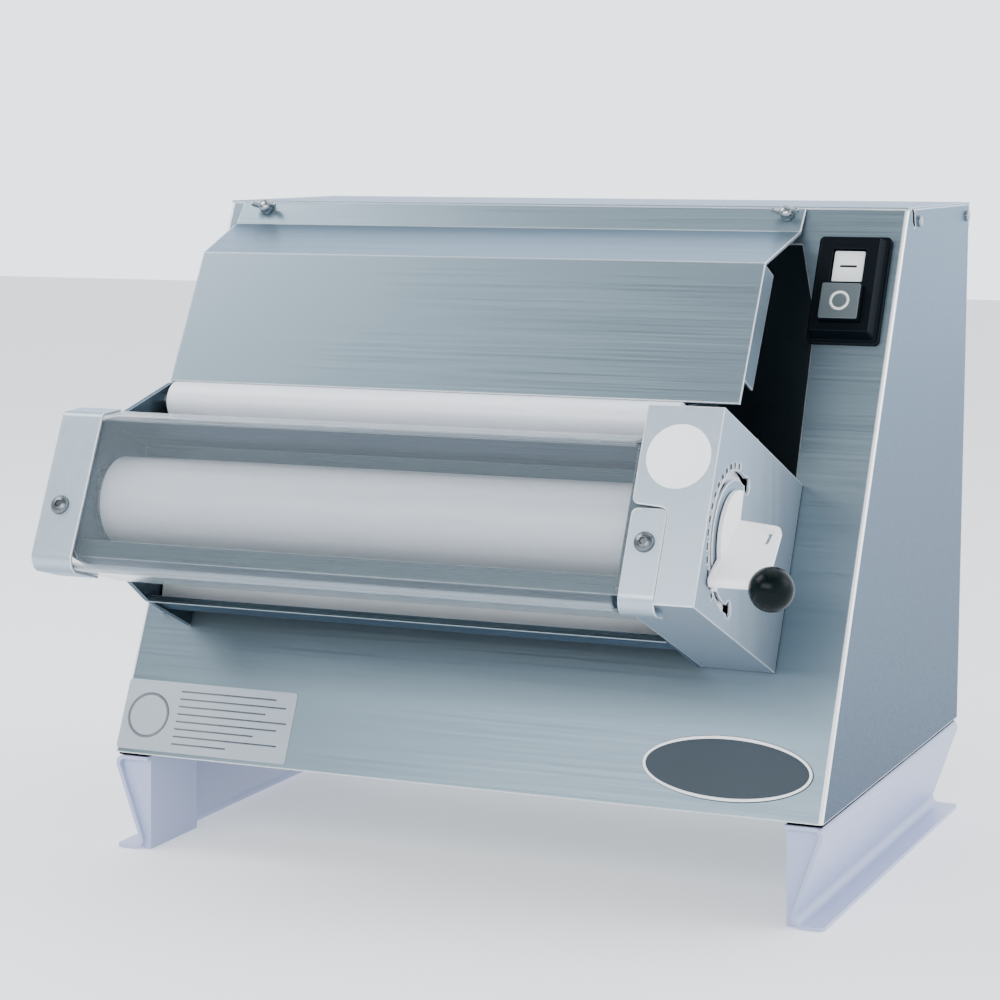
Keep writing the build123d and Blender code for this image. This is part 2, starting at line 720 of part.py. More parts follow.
# ================================================================ lever
def lever_point(along, across_blade):
    """Up and out of a point in the lever's own directions at rest."""
    angle = radians(lever_rest)
    up = pivot_up + along * sin(angle) + across_blade * cos(angle)
    out = pivot_out + along * cos(angle) - across_blade * sin(angle)
    return up, out


def direction(up, out):
    """World direction of a step up the face and out of it."""
    return 0, up * lean_sin - out * lean_cos, up * lean_cos + out * lean_sin


rest_sin = sin(radians(lever_rest))
rest_cos = cos(radians(lever_rest))
blade_side = 7.2                        # blade's distance from the axis
blade_end = 44.0
knob_up, knob_out = lever_point(46.5, 4.0)
blade_plane = Plane(
    origin=(lever_x, *yz(*lever_point(0, blade_side - 1.5))), x_dir=direction(rest_sin, rest_cos),
    z_dir=direction(rest_cos, -rest_sin))
with BuildPart() as thickness_lever:
    # sector plate against the housing
    with BuildSketch(side_plane(lever_x)):
        with Locations((pivot_up, pivot_out)):
            Circle(30)
        with BuildLine():
            corners = [lever_point(0, 0), lever_point(60, 0), lever_point(60, 45), lever_point(0, 60),
                       lever_point(-45, 45)]
            Polyline(*corners, close=True)
        make_face(mode=Mode.INTERSECT)
        with Locations((pivot_up, pivot_out)):
            Circle(11)
        Polygon(lever_point(-8, blade_side + 2), lever_point(blade_end, blade_side + 2),
                lever_point(blade_end, -2), lever_point(5, -6), align=None)
        with Locations((pivot_up, pivot_out)):
            Circle(sync_radius, mode=Mode.SUBTRACT)
    extrude(amount=2.5)
    # blade standing out of it
    with BuildSketch(blade_plane):
        with BuildLine():
            FilletPolyline((-10.5, 0), (blade_end, 0), (blade_end, 34), (-6, 28), radius=6, close=True)
        make_face()
        Polygon((-10.5, 0), (blade_end, 0), (blade_end, 8), (-9.2, 8), align=None)
        with Locations((4.5, 23)):
            SlotOverall(14, 3.2, mode=Mode.SUBTRACT)
        with Locations(Location((-1.2, 20.2), 90)):
            SlotOverall(8.4, 2.4, mode=Mode.SUBTRACT)
    extrude(amount=3)
    # rolled edge that carries the knob
    with BuildSketch(side_plane(lever_x)):
        with Locations(lever_point(blade_end, 5.2)):
            Circle(3.5)
    extrude(amount=27)
    # tongue through the arc slot
    with BuildSketch(side_plane(box_right - 4)):
        corners = ((36.2, -1.6), (39.8, -1.6), (39.8, 1.6), (36.2, 1.6))
        Polygon(*[lever_point(*corner) for corner in corners], align=None)
    extrude(amount=lever_x - box_right + 5)
save(thickness_lever, "thickness_lever")

with BuildPart() as ball_knob:
    with BuildSketch(Plane(origin=(knob_x, *yz(knob_up, knob_out)), x_dir=(0, 1, 0), z_dir=(0, 0, 1))):
        with BuildLine():
            Line((0, -knob_radius), (0, knob_radius))
            CenterArc((0, 0), knob_radius, -90, 180)
        make_face()
    revolve(axis=Axis((knob_x, *yz(knob_up, knob_out)), (1, 0, 0)))
    with BuildSketch(side_plane(lever_x)):
        with Locations(lever_point(blade_end, 5.2)):
            Circle(3.5)
    extrude(amount=27, mode=Mode.SUBTRACT)
    add(thickness_lever.part, mode=Mode.SUBTRACT)
save(ball_knob, "ball_knob")


# ================================================================ covers of the roller unit
slot_low = 35.6                          # arc slot of the lever, radii from its axis
slot_high = 40.4
slot_middle = (slot_low + slot_high) / 2
slot_reach = 104.0                       # to both sides of straight out
eye_radius = 5.0                         # round opening at both ends of the arc slot
index_radius = 43.6
index_windows = 15
index_pitch = 10.0                       # degrees
with BuildPart() as gear_cover:
    with BuildSketch(side_plane(right_cheek_x + 0.4)):
        Polygon((88.5, 1.6), (83, unit_front), (199, unit_front), (207.5, 1.6), align=None)
    extrude(amount=box_right - right_cheek_x - 0.4)
    with BuildSketch(side_plane(right_cheek_x)):
        Polygon(
            (90.2, -5), (84.5, unit_front - sheet), (197.5, unit_front - sheet), (206.2, -5),
            align=None)
    extrude(amount=box_right - sheet - right_cheek_x, mode=Mode.SUBTRACT)
    # inner flange on the body
    with BuildSketch(side_plane(box_right - 9)):
        Polygon((95, 1.6), (200, 1.6), (200, 3.1), (95, 3.1), align=None)
    extrude(amount=8)
    # relief for the cheek's rear flange
    with BuildSketch(side_plane(right_cheek_x)):
        Polygon((200, 0), (210, 0), (210, 3.9), (200, 3.9), align=None)
    extrude(amount=14.6, mode=Mode.SUBTRACT)
    # notch in the front for the guard and its bracket
    with BuildSketch(front_plane(unit_front - 6.5)) as front_notch:
        Polygon(
            (140, 60), (174.4, 60), (174.4, 138.8), (152.4, 140.6), (152.4, 160), (140, 160), align=None)
        fillet(front_notch.vertices().sort_by_distance((174.4, 138.8, 0))[0], 6)
        fillet(front_notch.vertices().sort_by_distance((152.4, 140.6, 0))[0], 4)
    extrude(amount=10, mode=Mode.SUBTRACT)
    # arc slot with a round eye at both ends, the row of index windows, and the bush's hole
    with BuildSketch(side_plane(box_right - 5)):
        with Locations((pivot_up, pivot_out)):
            Circle(8)
        with BuildLine():
            arc = CenterArc((pivot_up, pivot_out), slot_middle, 90 - slot_reach, 2 * slot_reach)
            offset(arc, amount=(slot_high - slot_low) / 2)
        make_face()
        with Locations(Location((pivot_up, pivot_out), 90)):
            with PolarLocations(slot_middle, 2, -slot_reach, 4 * slot_reach):
                Circle(eye_radius)
            with PolarLocations(index_radius, index_windows, -80, index_pitch * index_windows):
                Rectangle(3.4, 4.4)
    extrude(amount=10, mode=Mode.SUBTRACT)
save(gear_cover, "gear_cover")

with BuildPart() as left_end_cover:
    with BuildSketch(side_plane(-226)):
        Polygon((97, 76), (97, 150), (99, 154), (169, 154), (176, 147), (176, 76), align=None)
    extrude(amount=226 + left_cheek_x - 0.2)
    with BuildSketch(side_plane(-226 + sheet)):
        Polygon((98.5, 77.5), (98.5, 149.5), (100, 152.5), (168.5, 152.5), (174.5, 146.5), (174.5, 77.5),
                align=None)
    extrude(amount=226, mode=Mode.SUBTRACT)
save(left_end_cover, "left_end_cover")

with BuildPart() as blank_disc:
    with BuildSketch(front_plane(unit_front)):
        with Locations((175.5, 169)):
            Circle(19)
    extrude(amount=0.8)
    fillet(blank_disc.faces().sort_by(out_of_face)[-1].edges(), 0.4)
save(blank_disc, "blank_disc")


# ================================================================ guard
guard_out = unit_front - sheet - 0.2      # outer face of the clear guard
guard_path = [(187.5, 140), (177.3, guard_out), (78.7, guard_out), (85.9, 120)]
guard_left = bracket_left + 1.8
with BuildPart() as guard_shield:
    extrude(bent_strip(side_plane(guard_left), guard_path, 2, (3, 8), Side.LEFT), amount=148.5 - guard_left)
    with BuildSketch(side_plane(inner_left + 0.3)):
        Polygon((85.7, 121), (89.8, 98), (91.8, 98.3), (87.7, 121.3), align=None)
    extrude(amount=148.5 - inner_left - 0.3)
    with BuildSketch(side_plane(148)):
        Polygon(
            (87.5, guard_out - 2), (175, guard_out - 2), (175, guard_out), (87.5, guard_out),
            align=None)
    extrude(amount=25.5)
    with BuildSketch(front_plane(150)):
        with Locations(*[(x, guard_screw_up) for x in guard_screw_x]):
            Circle(3.1)
    extrude(amount=20, mode=Mode.SUBTRACT)
save(guard_shield, "guard_shield")

bracket_back = unit_front - sheet
with BuildPart() as left_guard_bracket:
    left_path = [(186.6, 142), (177.4, bracket_back), (78.4, bracket_back), (84.4, 127)]
    left_section = bent_strip(side_plane(bracket_left), left_path, sheet, (3, 8), Side.RIGHT)
    extrude(left_section, amount=bracket_inner - bracket_left)
    with BuildSketch(side_plane(bracket_left)):
        Polygon(
            (84, 142), (81.3, 157), (88, 160.6), (176.5, 160.6), (185.5, 144), (180, 139), (92, 139),
            align=None)
    extrude(amount=sheet)
    with BuildSketch(front_plane(150)):
        with Locations((guard_screw_x[0], guard_screw_up)):
            Circle(3.1)
    extrude(amount=20, mode=Mode.SUBTRACT)
save(left_guard_bracket, "left_guard_bracket")

with BuildPart() as right_guard_bracket:
    right_path = [(138, bracket_back), (78.4, bracket_back), (81.9, 142)]
    right_section = bent_strip(side_plane(bracket_right_inner), right_path, sheet, 8, Side.RIGHT)
    extrude(right_section, amount=bracket_right - bracket_right_inner)
    fillet(right_guard_bracket.edges().filter_by(out_of_face).sort_by(Axis.Z)[-2:], 4)
    with BuildSketch(front_plane(150)):
        with Locations((guard_screw_x[1], guard_screw_up)):
            Circle(3.1)
    extrude(amount=20, mode=Mode.SUBTRACT)
save(right_guard_bracket, "right_guard_bracket")

with BuildPart() as guard_screws:
    for x in guard_screw_x:
        with BuildSketch(front_plane(155)):
            with Locations((x, guard_screw_up)):
                Circle(3)
        extrude(amount=7)
        with BuildSketch(front_plane(unit_front)):
            with Locations((x, guard_screw_up)):
                Circle(6)
        extrude(amount=3.4, taper=12)
        with BuildSketch(front_plane(unit_front + 1.8)):
            with Locations((x, guard_screw_up)):
                RegularPolygon(2.1, 6)
        extrude(amount=3, mode=Mode.SUBTRACT)
save(guard_screws, "guard_screws")


# ================================================================ drive in the body
motor_y = 77.0
motor_z = 145.0
motor_left = -120.0
gearbox_left = 60.0
gearbox_right = 130.0
with BuildPart() as motor:
    extrude(ring(across(motor_left, motor_y, motor_z), 58, 50), amount=gearbox_left - motor_left)
    extrude(ring(across(motor_left, motor_y, motor_z), 58), amount=8)
    extrude(ring(across(gearbox_left - 8, motor_y, motor_z), 58), amount=8)
    extrude(ring(across(-80, motor_y, motor_z), 50.5, 36), amount=100)
    extrude(ring(across(motor_left + 2.5, motor_y, motor_z), 7 + run), amount=300, mode=Mode.SUBTRACT)
save(motor, "motor")

motor_to_output = atan2(output_z - motor_z, output_y - motor_y)
with BuildPart() as motor_rotor:
    extrude(ring(across(-80, motor_y, motor_z), 34), amount=100)
    extrude(ring(across(motor_left + 3, motor_y, motor_z), 7), amount=195)
    with BuildSketch(across(76, motor_y, motor_z)):
        Polygon(*toothed(12, 4.8, 7.0, 9.0, 3.0, motor_to_output * 180 / pi + 15), align=None)
    extrude(amount=18)
save(motor_rotor, "motor_rotor")

with BuildPart() as gearbox:
    with BuildSketch(across(gearbox_left, 62.5, 153)):
        RectangleRounded(149, 134, 10)
    extrude(amount=gearbox_right - gearbox_left)
    with BuildSketch(across(gearbox_left + 6, 62.5, 153)):
        RectangleRounded(137, 122, 6)
    extrude(amount=gearbox_right - gearbox_left - 12, mode=Mode.SUBTRACT)
    for y in (5, 120):
        with BuildSketch(Plane.XY.offset(foot_height + sheet)):
            with Locations((95, y)):
                Rectangle(60, 10)
        extrude(amount=21)
    extrude(ring(across(gearbox_left - 1, motor_y, motor_z), 12), amount=8, mode=Mode.SUBTRACT)
    extrude(ring(across(gearbox_left + 2, output_y, output_z), 7 + run), amount=200, mode=Mode.SUBTRACT)
save(gearbox, "gearbox")

with BuildPart() as output_shaft:
    extrude(ring(across(gearbox_left + 2.3, output_y, output_z), 7), amount=115.7)
    with BuildSketch(across(79, output_y, output_z)):
        Polygon(*toothed(82, 40.0, 42.0, 1.3, 0.6, motor_to_output * 180 / pi + 180), align=None)
    extrude(amount=12)
save(output_shaft, "output_shaft")


# ================================================================ switch and electrics
switch_x = 210.0
switch_up = 334.5
start_up = 347.0
stop_up = 320.8
start_out = 12.0
stop_out = 21.0
button_back = -1.0
pocket_floor = -6.0
with BuildPart() as switch_housing:
    with BuildSketch(front_plane(0.2)):
        with Locations((switch_x, switch_up)):
            RectangleRounded(46, 71, 3)
    extrude(amount=4)
    with BuildSketch(front_plane(4)):
        with Locations((switch_x, switch_up)):
            RectangleRounded(42, 67, 3)
    extrude(amount=10, taper=14)
    with BuildSketch(front_plane(-32)):
        with Locations((switch_x, switch_up)):
            Rectangle(35, 60)
    extrude(amount=33)
    with BuildSketch(front_plane(pocket_floor)):
        with Locations((switch_x, start_up)):
            Rectangle(21, 22)
        with Locations((switch_x, stop_up)):
            Rectangle(26, 24.6)
    extrude(amount=30, mode=Mode.SUBTRACT)
save(switch_housing, "switch_housing")

with BuildPart() as start_button:
    with BuildSketch(front_plane(button_back)):
        with Locations((switch_x, start_up)):
            RectangleRounded(20, 21, 1)
    extrude(amount=start_out - button_back)
    fillet(start_button.edges().sort_by(out_of_face)[-8:], 0.6)
save(start_button, "start_button")

with BuildPart() as stop_button:
    with BuildSketch(front_plane(button_back)):
        with Locations((switch_x, stop_up)):
            RectangleRounded(25, 23.6, 1)
    extrude(amount=stop_out - button_back)
    fillet(stop_button.edges().sort_by(out_of_face)[-8:], 1.0)
save(stop_button, "stop_button")

spring_length = button_back - pocket_floor
spring_wire = 0.3
for name, up in (("start_spring", start_up), ("stop_spring", stop_up)):
    seat = Plane(
        origin=(switch_x, *yz(up, pocket_floor + spring_wire)), x_dir=(1, 0, 0),
        z_dir=(0, -lean_cos, lean_sin))
    coil = seat * Helix(pitch=1.4, height=spring_length - 2 * spring_wire, radius=4)
    with BuildPart() as spring:
        with BuildSketch(Plane(origin=coil @ 0, z_dir=coil % 0)):
            Circle(spring_wire)
        sweep(path=coil)
    save(spring, name)

with BuildPart() as control_box:
    with BuildSketch(Plane.XY.offset(foot_height + sheet)):
        with Locations((150, 172)):
            Rectangle(100, 60)
    extrude(amount=84)
    fillet(control_box.edges().filter_by(Axis.Z), 3)
    with BuildSketch(Plane.XY.offset(foot_height + sheet + 3)):
        with Locations((150, 172)):
            Rectangle(94, 54)
    extrude(amount=78, mode=Mode.SUBTRACT)
save(control_box, "control_box")

with BuildPart() as cable_gland:
    gland_plane = Plane(origin=(gland_x, back_y + rear_sheet, gland_z), x_dir=(1, 0, 0), z_dir=(0, 1, 0))
    with BuildSketch(gland_plane):
        RegularPolygon(11, 6)
    extrude(amount=4)
    with BuildSketch(gland_plane.offset(4)):
        Circle(9)
    extrude(amount=9.6, taper=14)
    with BuildSketch(gland_plane.offset(-6)):
        Circle(8)
    extrude(amount=7)
    with BuildSketch(gland_plane.offset(-8)):
        Circle(4)
    extrude(amount=30, mode=Mode.SUBTRACT)
save(cable_gland, "cable_gland")


# ================================================================ blank plates
with BuildPart() as label_plate:
    with BuildSketch(front_plane(0)):
        with Locations((-177, 26.2)):
            RectangleRounded(124, 46.5, 2)
    extrude(amount=0.5)
save(label_plate, "label_plate")

with BuildPart() as badge:
    with BuildSketch(front_plane(0)):
        with Locations((177, 28)):
            Ellipse(53.5, 20)
    extrude(amount=1)
    fillet(badge.faces().sort_by(out_of_face)[-1].edges(), 0.5)
save(badge, "badge")
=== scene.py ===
from math import asin, cos, pi, radians, sin

import bmesh
import bpy
from mathutils import Matrix, Vector


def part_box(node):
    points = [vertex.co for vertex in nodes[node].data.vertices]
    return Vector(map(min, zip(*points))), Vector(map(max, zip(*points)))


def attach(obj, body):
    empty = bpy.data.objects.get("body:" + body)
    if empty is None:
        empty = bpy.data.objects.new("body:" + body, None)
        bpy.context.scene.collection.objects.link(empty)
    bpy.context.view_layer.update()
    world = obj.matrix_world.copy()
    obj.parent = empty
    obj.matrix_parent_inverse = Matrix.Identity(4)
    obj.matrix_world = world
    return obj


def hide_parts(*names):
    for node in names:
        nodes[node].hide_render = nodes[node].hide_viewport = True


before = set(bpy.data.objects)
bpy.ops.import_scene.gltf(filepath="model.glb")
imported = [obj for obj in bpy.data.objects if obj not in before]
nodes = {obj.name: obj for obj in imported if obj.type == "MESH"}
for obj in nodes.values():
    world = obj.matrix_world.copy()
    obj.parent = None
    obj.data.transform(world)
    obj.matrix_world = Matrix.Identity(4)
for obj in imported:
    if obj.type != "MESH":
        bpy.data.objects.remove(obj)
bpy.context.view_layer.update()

# ---------------------------------------------------------------- the leaning front face
LEAN = radians(25.3)
FACE_FOOT = Vector((0.0, -0.113, 0.0648))       # lower front edge of the body
FACE_UP = Vector((0, sin(LEAN), cos(LEAN)))
FACE_OUT = Vector((0, -cos(LEAN), sin(LEAN)))
RIGHT = Vector((1, 0, 0))


def face_point(x, up, out):
    """A point given across, up and out of the front face, in metres."""
    return FACE_FOOT + RIGHT * x + FACE_UP * up + FACE_OUT * out


def face_matrix(x, up, out):
    """Frame on the front face: local X across, Y up the face, Z out of it."""
    matrix = Matrix((RIGHT, FACE_UP, FACE_OUT)).transposed().to_4x4()
    matrix.translation = face_point(x, up, out)
    return matrix


# ================================================================ materials
def new_material(name):
    material = bpy.data.materials.new(name)
    material.use_nodes = True
    tree = material.node_tree
    return material, tree, tree.nodes["Principled BSDF"]


def link(tree, source, target):
    tree.links.new(source, target)


def add_node(tree, kind, **values):
    node = tree.nodes.new(kind)
    for key, value in values.items():
        setattr(node, key, value)
    return node


def set_inputs(node, **values):
    for key, value in values.items():
        node.inputs[key.replace("_", " ")].default_value = value


def object_coords(tree, scale=(1, 1, 1)):
    coords = add_node(tree, "ShaderNodeTexCoord")
    mapping = add_node(tree, "ShaderNodeMapping")
    mapping.inputs["Scale"].default_value = scale
    link(tree, coords.outputs["Object"], mapping.inputs["Vector"])
    return mapping.outputs["Vector"]


def noise(tree, vector, scale, detail=4.0, roughness=0.6):
    node = add_node(tree, "ShaderNodeTexNoise")
    set_inputs(node, Scale=scale, Detail=detail, Roughness=roughness)
    link(tree, vector, node.inputs["Vector"])
    return node.outputs["Fac"]


def ramp(tree, factor, stops):
    node = add_node(tree, "ShaderNodeValToRGB")
    band = node.color_ramp
    while len(band.elements) < len(stops):
        band.elements.new(0.5)
    for element, (place, colour) in zip(band.elements, stops):
        element.position = place
        element.color = (*colour, 1)
    link(tree, factor, node.inputs["Fac"])
    return node.outputs["Color"]


def spread(tree, factor, low, high, start=0.35, end=0.65):
    node = add_node(tree, "ShaderNodeMapRange")
    set_inputs(node, From_Min=start, From_Max=end, To_Min=low, To_Max=high)
    link(tree, factor, node.inputs["Value"])
    return node.outputs["Result"]


def mixed(tree, factor, first, second):
    """Mix of two colours, each a socket or a constant."""
    node = add_node(tree, "ShaderNodeMix", data_type="RGBA")
    if hasattr(factor, "links"):
        link(tree, factor, node.inputs[0])
    else:
        node.inputs[0].default_value = factor
    for socket, value in ((node.inputs[6], first), (node.inputs[7], second)):
        if hasattr(value, "links"):
            link(tree, value, socket)
        else:
            socket.default_value = (*value, 1)
    return node.outputs[2]


def bump(tree, height, strength, distance, normal=None):
    node = add_node(tree, "ShaderNodeBump")
    set_inputs(node, Strength=strength, Distance=distance)
    link(tree, height, node.inputs["Height"])
    if normal is not None:
        link(tree, normal, node.inputs["Normal"])
    return node.outputs["Normal"]


def edge_mask(tree, radius):
    """1 on convex and concave edges, 0 on flat stretches."""
    rounded = add_node(tree, "ShaderNodeBevel", samples=6)
    set_inputs(rounded, Radius=radius)
    flat = add_node(tree, "ShaderNodeNewGeometry")
    dot = add_node(tree, "ShaderNodeVectorMath", operation="DOT_PRODUCT")
    link(tree, rounded.outputs["Normal"], dot.inputs[0])
    link(tree, flat.outputs["Normal"], dot.inputs[1])
    return spread(tree, dot.outputs["Value"], 1.0, 0.0, 0.92, 0.996), rounded.outputs["Normal"]


def painted_side_shade(tree, tone, shade_tone, low, high):
    """Painted shade: deepens the tone of side walls and undersides towards the foot of the machine."""
    coords = add_node(tree, "ShaderNodeTexCoord")
    place = add_node(tree, "ShaderNodeSeparateXYZ")
    link(tree, coords.outputs["Object"], place.inputs[0])
    way = add_node(tree, "ShaderNodeSeparateXYZ")
    link(tree, add_node(tree, "ShaderNodeNewGeometry").outputs["True Normal"], way.inputs[0])
    turned = add_node(tree, "ShaderNodeMath", operation="ABSOLUTE")
    link(tree, way.outputs["X"], turned.inputs[0])
    upright = spread(tree, turned.outputs[0], 0.0, 1.0, 0.6, 0.9)
    side = add_node(tree, "ShaderNodeMath", operation="ADD", use_clamp=True)
    link(tree, upright, side.inputs[0])
    link(tree, spread(tree, way.outputs["Z"], 1.0, 0.0, -0.7, -0.3), side.inputs[1])
    fall = spread(tree, place.outputs["Z"], low, high, 0.05, 0.34)
    amount = add_node(tree, "ShaderNodeMath", operation="MULTIPLY")
    link(tree, side.outputs[0], amount.inputs[0])
    link(tree, fall, amount.inputs[1])
    return mixed(tree, amount.outputs[0], tone, shade_tone)


def painted_bend_highlight(tree, tone, bright):
    """Painted highlight along the rounded bends between a front and a side wall."""
    way = add_node(tree, "ShaderNodeSeparateXYZ")
    link(tree, add_node(tree, "ShaderNodeNewGeometry").outputs["Normal"], way.inputs[0])
    turned = add_node(tree, "ShaderNodeMath", operation="ABSOLUTE")
    link(tree, way.outputs["X"], turned.inputs[0])
    band = add_node(tree, "ShaderNodeMath", operation="MULTIPLY")
    link(tree, spread(tree, turned.outputs[0], 0.0, 1.0, 0.08, 0.25), band.inputs[0])
    link(tree, spread(tree, turned.outputs[0], 1.0, 0.0, 0.88, 0.97), band.inputs[1])
    return mixed(tree, band.outputs[0], tone, bright)


def steel(name, colour, along="X", metallic=0.76, rough=0.34, edge_highlight=(0.86, 0.89, 0.92), edge_radius=0.0011,
          grain=0.55, side_shade=False, bend_highlights=False, glance=(0.66, 0.75, 0.92), shade_tone=(0.030, 0.044, 0.056)):
    """Brushed sheet steel: long fine strokes along one axis, cloudy tone, painted highlights on bent edges,
    and optionally painted shade low on the sides and painted highlights along rounded bends.
    """
    material, tree, shader = new_material(name)
    fine = {"X": (6, 900, 900), "Y": (900, 6, 900), "Z": (900, 900, 6)}[along]
    broad = {"X": (1.5, 60, 60), "Y": (60, 1.5, 60), "Z": (60, 60, 1.5)}[along]
    strokes = noise(tree, object_coords(tree, fine), 1.0, 5.0, 0.7)
    streaks = noise(tree, object_coords(tree, broad), 1.0, 3.0, 0.55)
    clouds = noise(tree, object_coords(tree), 5.0, 2.0, 0.5)
    dark = tuple(c * (1 - 0.10 * grain) for c in colour)
    light = tuple(min(1.0, c * (1 + 0.07 * grain)) for c in colour)
    tone = ramp(tree, strokes, [(0.30, dark), (0.52, colour), (0.74, light)])
    tone = mixed(tree, spread(tree, streaks, 0.0, 0.22 * grain), tone, dark)
    tone = mixed(tree, spread(tree, clouds, 0.0, 0.16), tone, light)
    # painted shade, darker on side walls and undersides towards the foot
    if side_shade:
        tone = painted_side_shade(tree, tone, shade_tone, 0.92, 0.0)
    # painted highlight along the rounded bends
    if bend_highlights:
        tone = painted_bend_highlight(tree, tone, edge_highlight)
    # painted highlight: edges take the lighter edge colour
    mask, normal = edge_mask(tree, edge_radius)
    tone = mixed(tree, mask, tone, edge_highlight)
    link(tree, tone, shader.inputs["Base Color"])
    link(tree, spread(tree, strokes, rough - 0.06, rough + 0.09), shader.inputs["Roughness"])
    link(tree, bump(tree, strokes, 0.09 * grain, 0.00006, normal), shader.inputs["Normal"])
    set_inputs(shader, Metallic=metallic, Specular_Tint=(*glance, 1), Specular_IOR_Level=0.3)
    return material


def machined(name, colour, rough=0.28, metallic=1.0):
    """Turned or ground metal with a fine ring-like grain and dull spots."""
    material, tree, shader = new_material(name)
    grain = noise(tree, object_coords(tree, (1200, 60, 60)), 1.0, 4.0, 0.6)
    spots = noise(tree, object_coords(tree), 160.0, 3.0, 0.6)
    dark = tuple(c * 0.82 for c in colour)
    tone = ramp(tree, grain, [(0.35, dark), (0.65, colour)])
    # painted highlight: edges lighter than the metal
    mask, normal = edge_mask(tree, 0.0005)
    tone = mixed(tree, mask, tone, tuple(min(1.0, c * 1.25) for c in colour))
    link(tree, tone, shader.inputs["Base Color"])
    link(tree, spread(tree, spots, rough - 0.05, rough + 0.12), shader.inputs["Roughness"])
    link(tree, bump(tree, grain, 0.12, 0.00004, normal), shader.inputs["Normal"])
    set_inputs(shader, Metallic=metallic)
    return material


def plastic(name, colour, rough=0.3, grain=0.1, variation=0.06, edge_highlight=None, specular=0.5):
    """Moulded plastic: fine spark-eroded grain, slow colour drift, painted highlights on its edges."""
    material, tree, shader = new_material(name)
    fine = noise(tree, object_coords(tree), 900.0, 3.0, 0.6)
    slow = noise(tree, object_coords(tree), 14.0, 3.0, 0.55)
    dark = tuple(c * (1 - variation) for c in colour)
    light = tuple(min(1.0, c * (1 + variation)) for c in colour)
    tone = ramp(tree, slow, [(0.32, dark), (0.68, light)])
    # painted highlight: edges take a lighter edge colour
    mask, normal = edge_mask(tree, 0.0005)
    tone = mixed(tree, mask, tone, edge_highlight or tuple(min(1.0, c * 1.3 + 0.01) for c in colour))
    link(tree, tone, shader.inputs["Base Color"])
    link(tree, spread(tree, fine, rough - 0.04, rough + 0.08), shader.inputs["Roughness"])
    link(tree, bump(tree, fine, grain, 0.00008, normal), shader.inputs["Normal"])
    set_inputs(shader, Specular_IOR_Level=specular)
    return material


def roller_white():
    """White food-grade plastic, turned on a lathe: faint rings, scuffs and a soft sheen."""
    material, tree, shader = new_material("roller_white")
    rings = noise(tree, object_coords(tree, (700, 8, 8)), 1.0, 3.0, 0.5)
    scuffs = noise(tree, object_coords(tree, (12, 160, 160)), 1.0, 6.0, 0.7)
    tone = ramp(tree, scuffs, [
        (0.28, (0.79, 0.83, 0.91)), (0.55, (0.85, 0.885, 0.96)), (0.8, (0.89, 0.915, 0.98))])
    tone = mixed(tree, spread(tree, rings, 0.0, 0.12), tone, (0.74, 0.75, 0.80))
    # painted highlight on the roller's edges
    mask, normal = edge_mask(tree, 0.0008)
    tone = mixed(tree, mask, tone, (0.95, 0.95, 0.97))
    link(tree, tone, shader.inputs["Base Color"])
    link(tree, spread(tree, scuffs, 0.30, 0.45), shader.inputs["Roughness"])
    link(tree, bump(tree, rings, 0.12, 0.00005, normal), shader.inputs["Normal"])
    set_inputs(shader, Subsurface_Weight=0.15, Subsurface_Scale=0.006, Coat_Weight=0.15, Coat_Roughness=0.25)
    return material


def clear_sheet():
    """Clear polycarbonate with hairline scratches; painted shade on its cut edges, a painted grey reflection
    growing at glancing angles, and more opacity on its downward-facing lower wing.
    """
    material, tree, shader = new_material("clear_sheet")
    scratches = noise(tree, object_coords(tree, (40, 700, 700)), 1.0, 4.0, 0.7)
    mask, normal = edge_mask(tree, 0.0011)
    gloss = add_node(tree, "ShaderNodeFresnel")
    gloss.inputs["IOR"].default_value = 1.45
    # painted shade: near-black tone on the cut edges
    tone = mixed(tree, mask, (0.30, 0.36, 0.41), (0.07, 0.09, 0.10))
    link(tree, tone, shader.inputs["Base Color"])
    link(tree, spread(tree, scratches, 0.05, 0.20), shader.inputs["Roughness"])
    link(tree, bump(tree, scratches, 0.03, 0.00004, normal), shader.inputs["Normal"])
    set_inputs(shader, IOR=1.45)
    solid = add_node(tree, "ShaderNodeMath", operation="MULTIPLY_ADD", use_clamp=True)
    link(tree, mask, solid.inputs[0])
    solid.inputs[1].default_value = 0.45
    way = add_node(tree, "ShaderNodeSeparateXYZ")
    link(tree, add_node(tree, "ShaderNodeNewGeometry").outputs["True Normal"], way.inputs[0])
    # painted reflection: the grey sheet turns more opaque at glancing angles; the lower wing below adds more
    # opacity
    reflection_and_wing_opacity = add_node(tree, "ShaderNodeMath", operation="ADD")
    link(tree, spread(tree, gloss.outputs["Fac"], 0.12, 0.60, 0.03, 0.45), reflection_and_wing_opacity.inputs[0])
    place = add_node(tree, "ShaderNodeSeparateXYZ")
    link(tree, add_node(tree, "ShaderNodeTexCoord").outputs["Object"], place.inputs[0])
    lower_wing = add_node(tree, "ShaderNodeMath", operation="MULTIPLY")
    link(tree, spread(tree, way.outputs["Z"], 0.38, 0.0, -0.7, -0.4), lower_wing.inputs[0])
    link(tree, spread(tree, place.outputs["Z"], 1.0, 0.0, 0.225, 0.245), lower_wing.inputs[1])
    link(tree, lower_wing.outputs[0], reflection_and_wing_opacity.inputs[1])
    link(tree, reflection_and_wing_opacity.outputs[0], solid.inputs[2])
    link(tree, solid.outputs[0], shader.inputs["Alpha"])
    return material


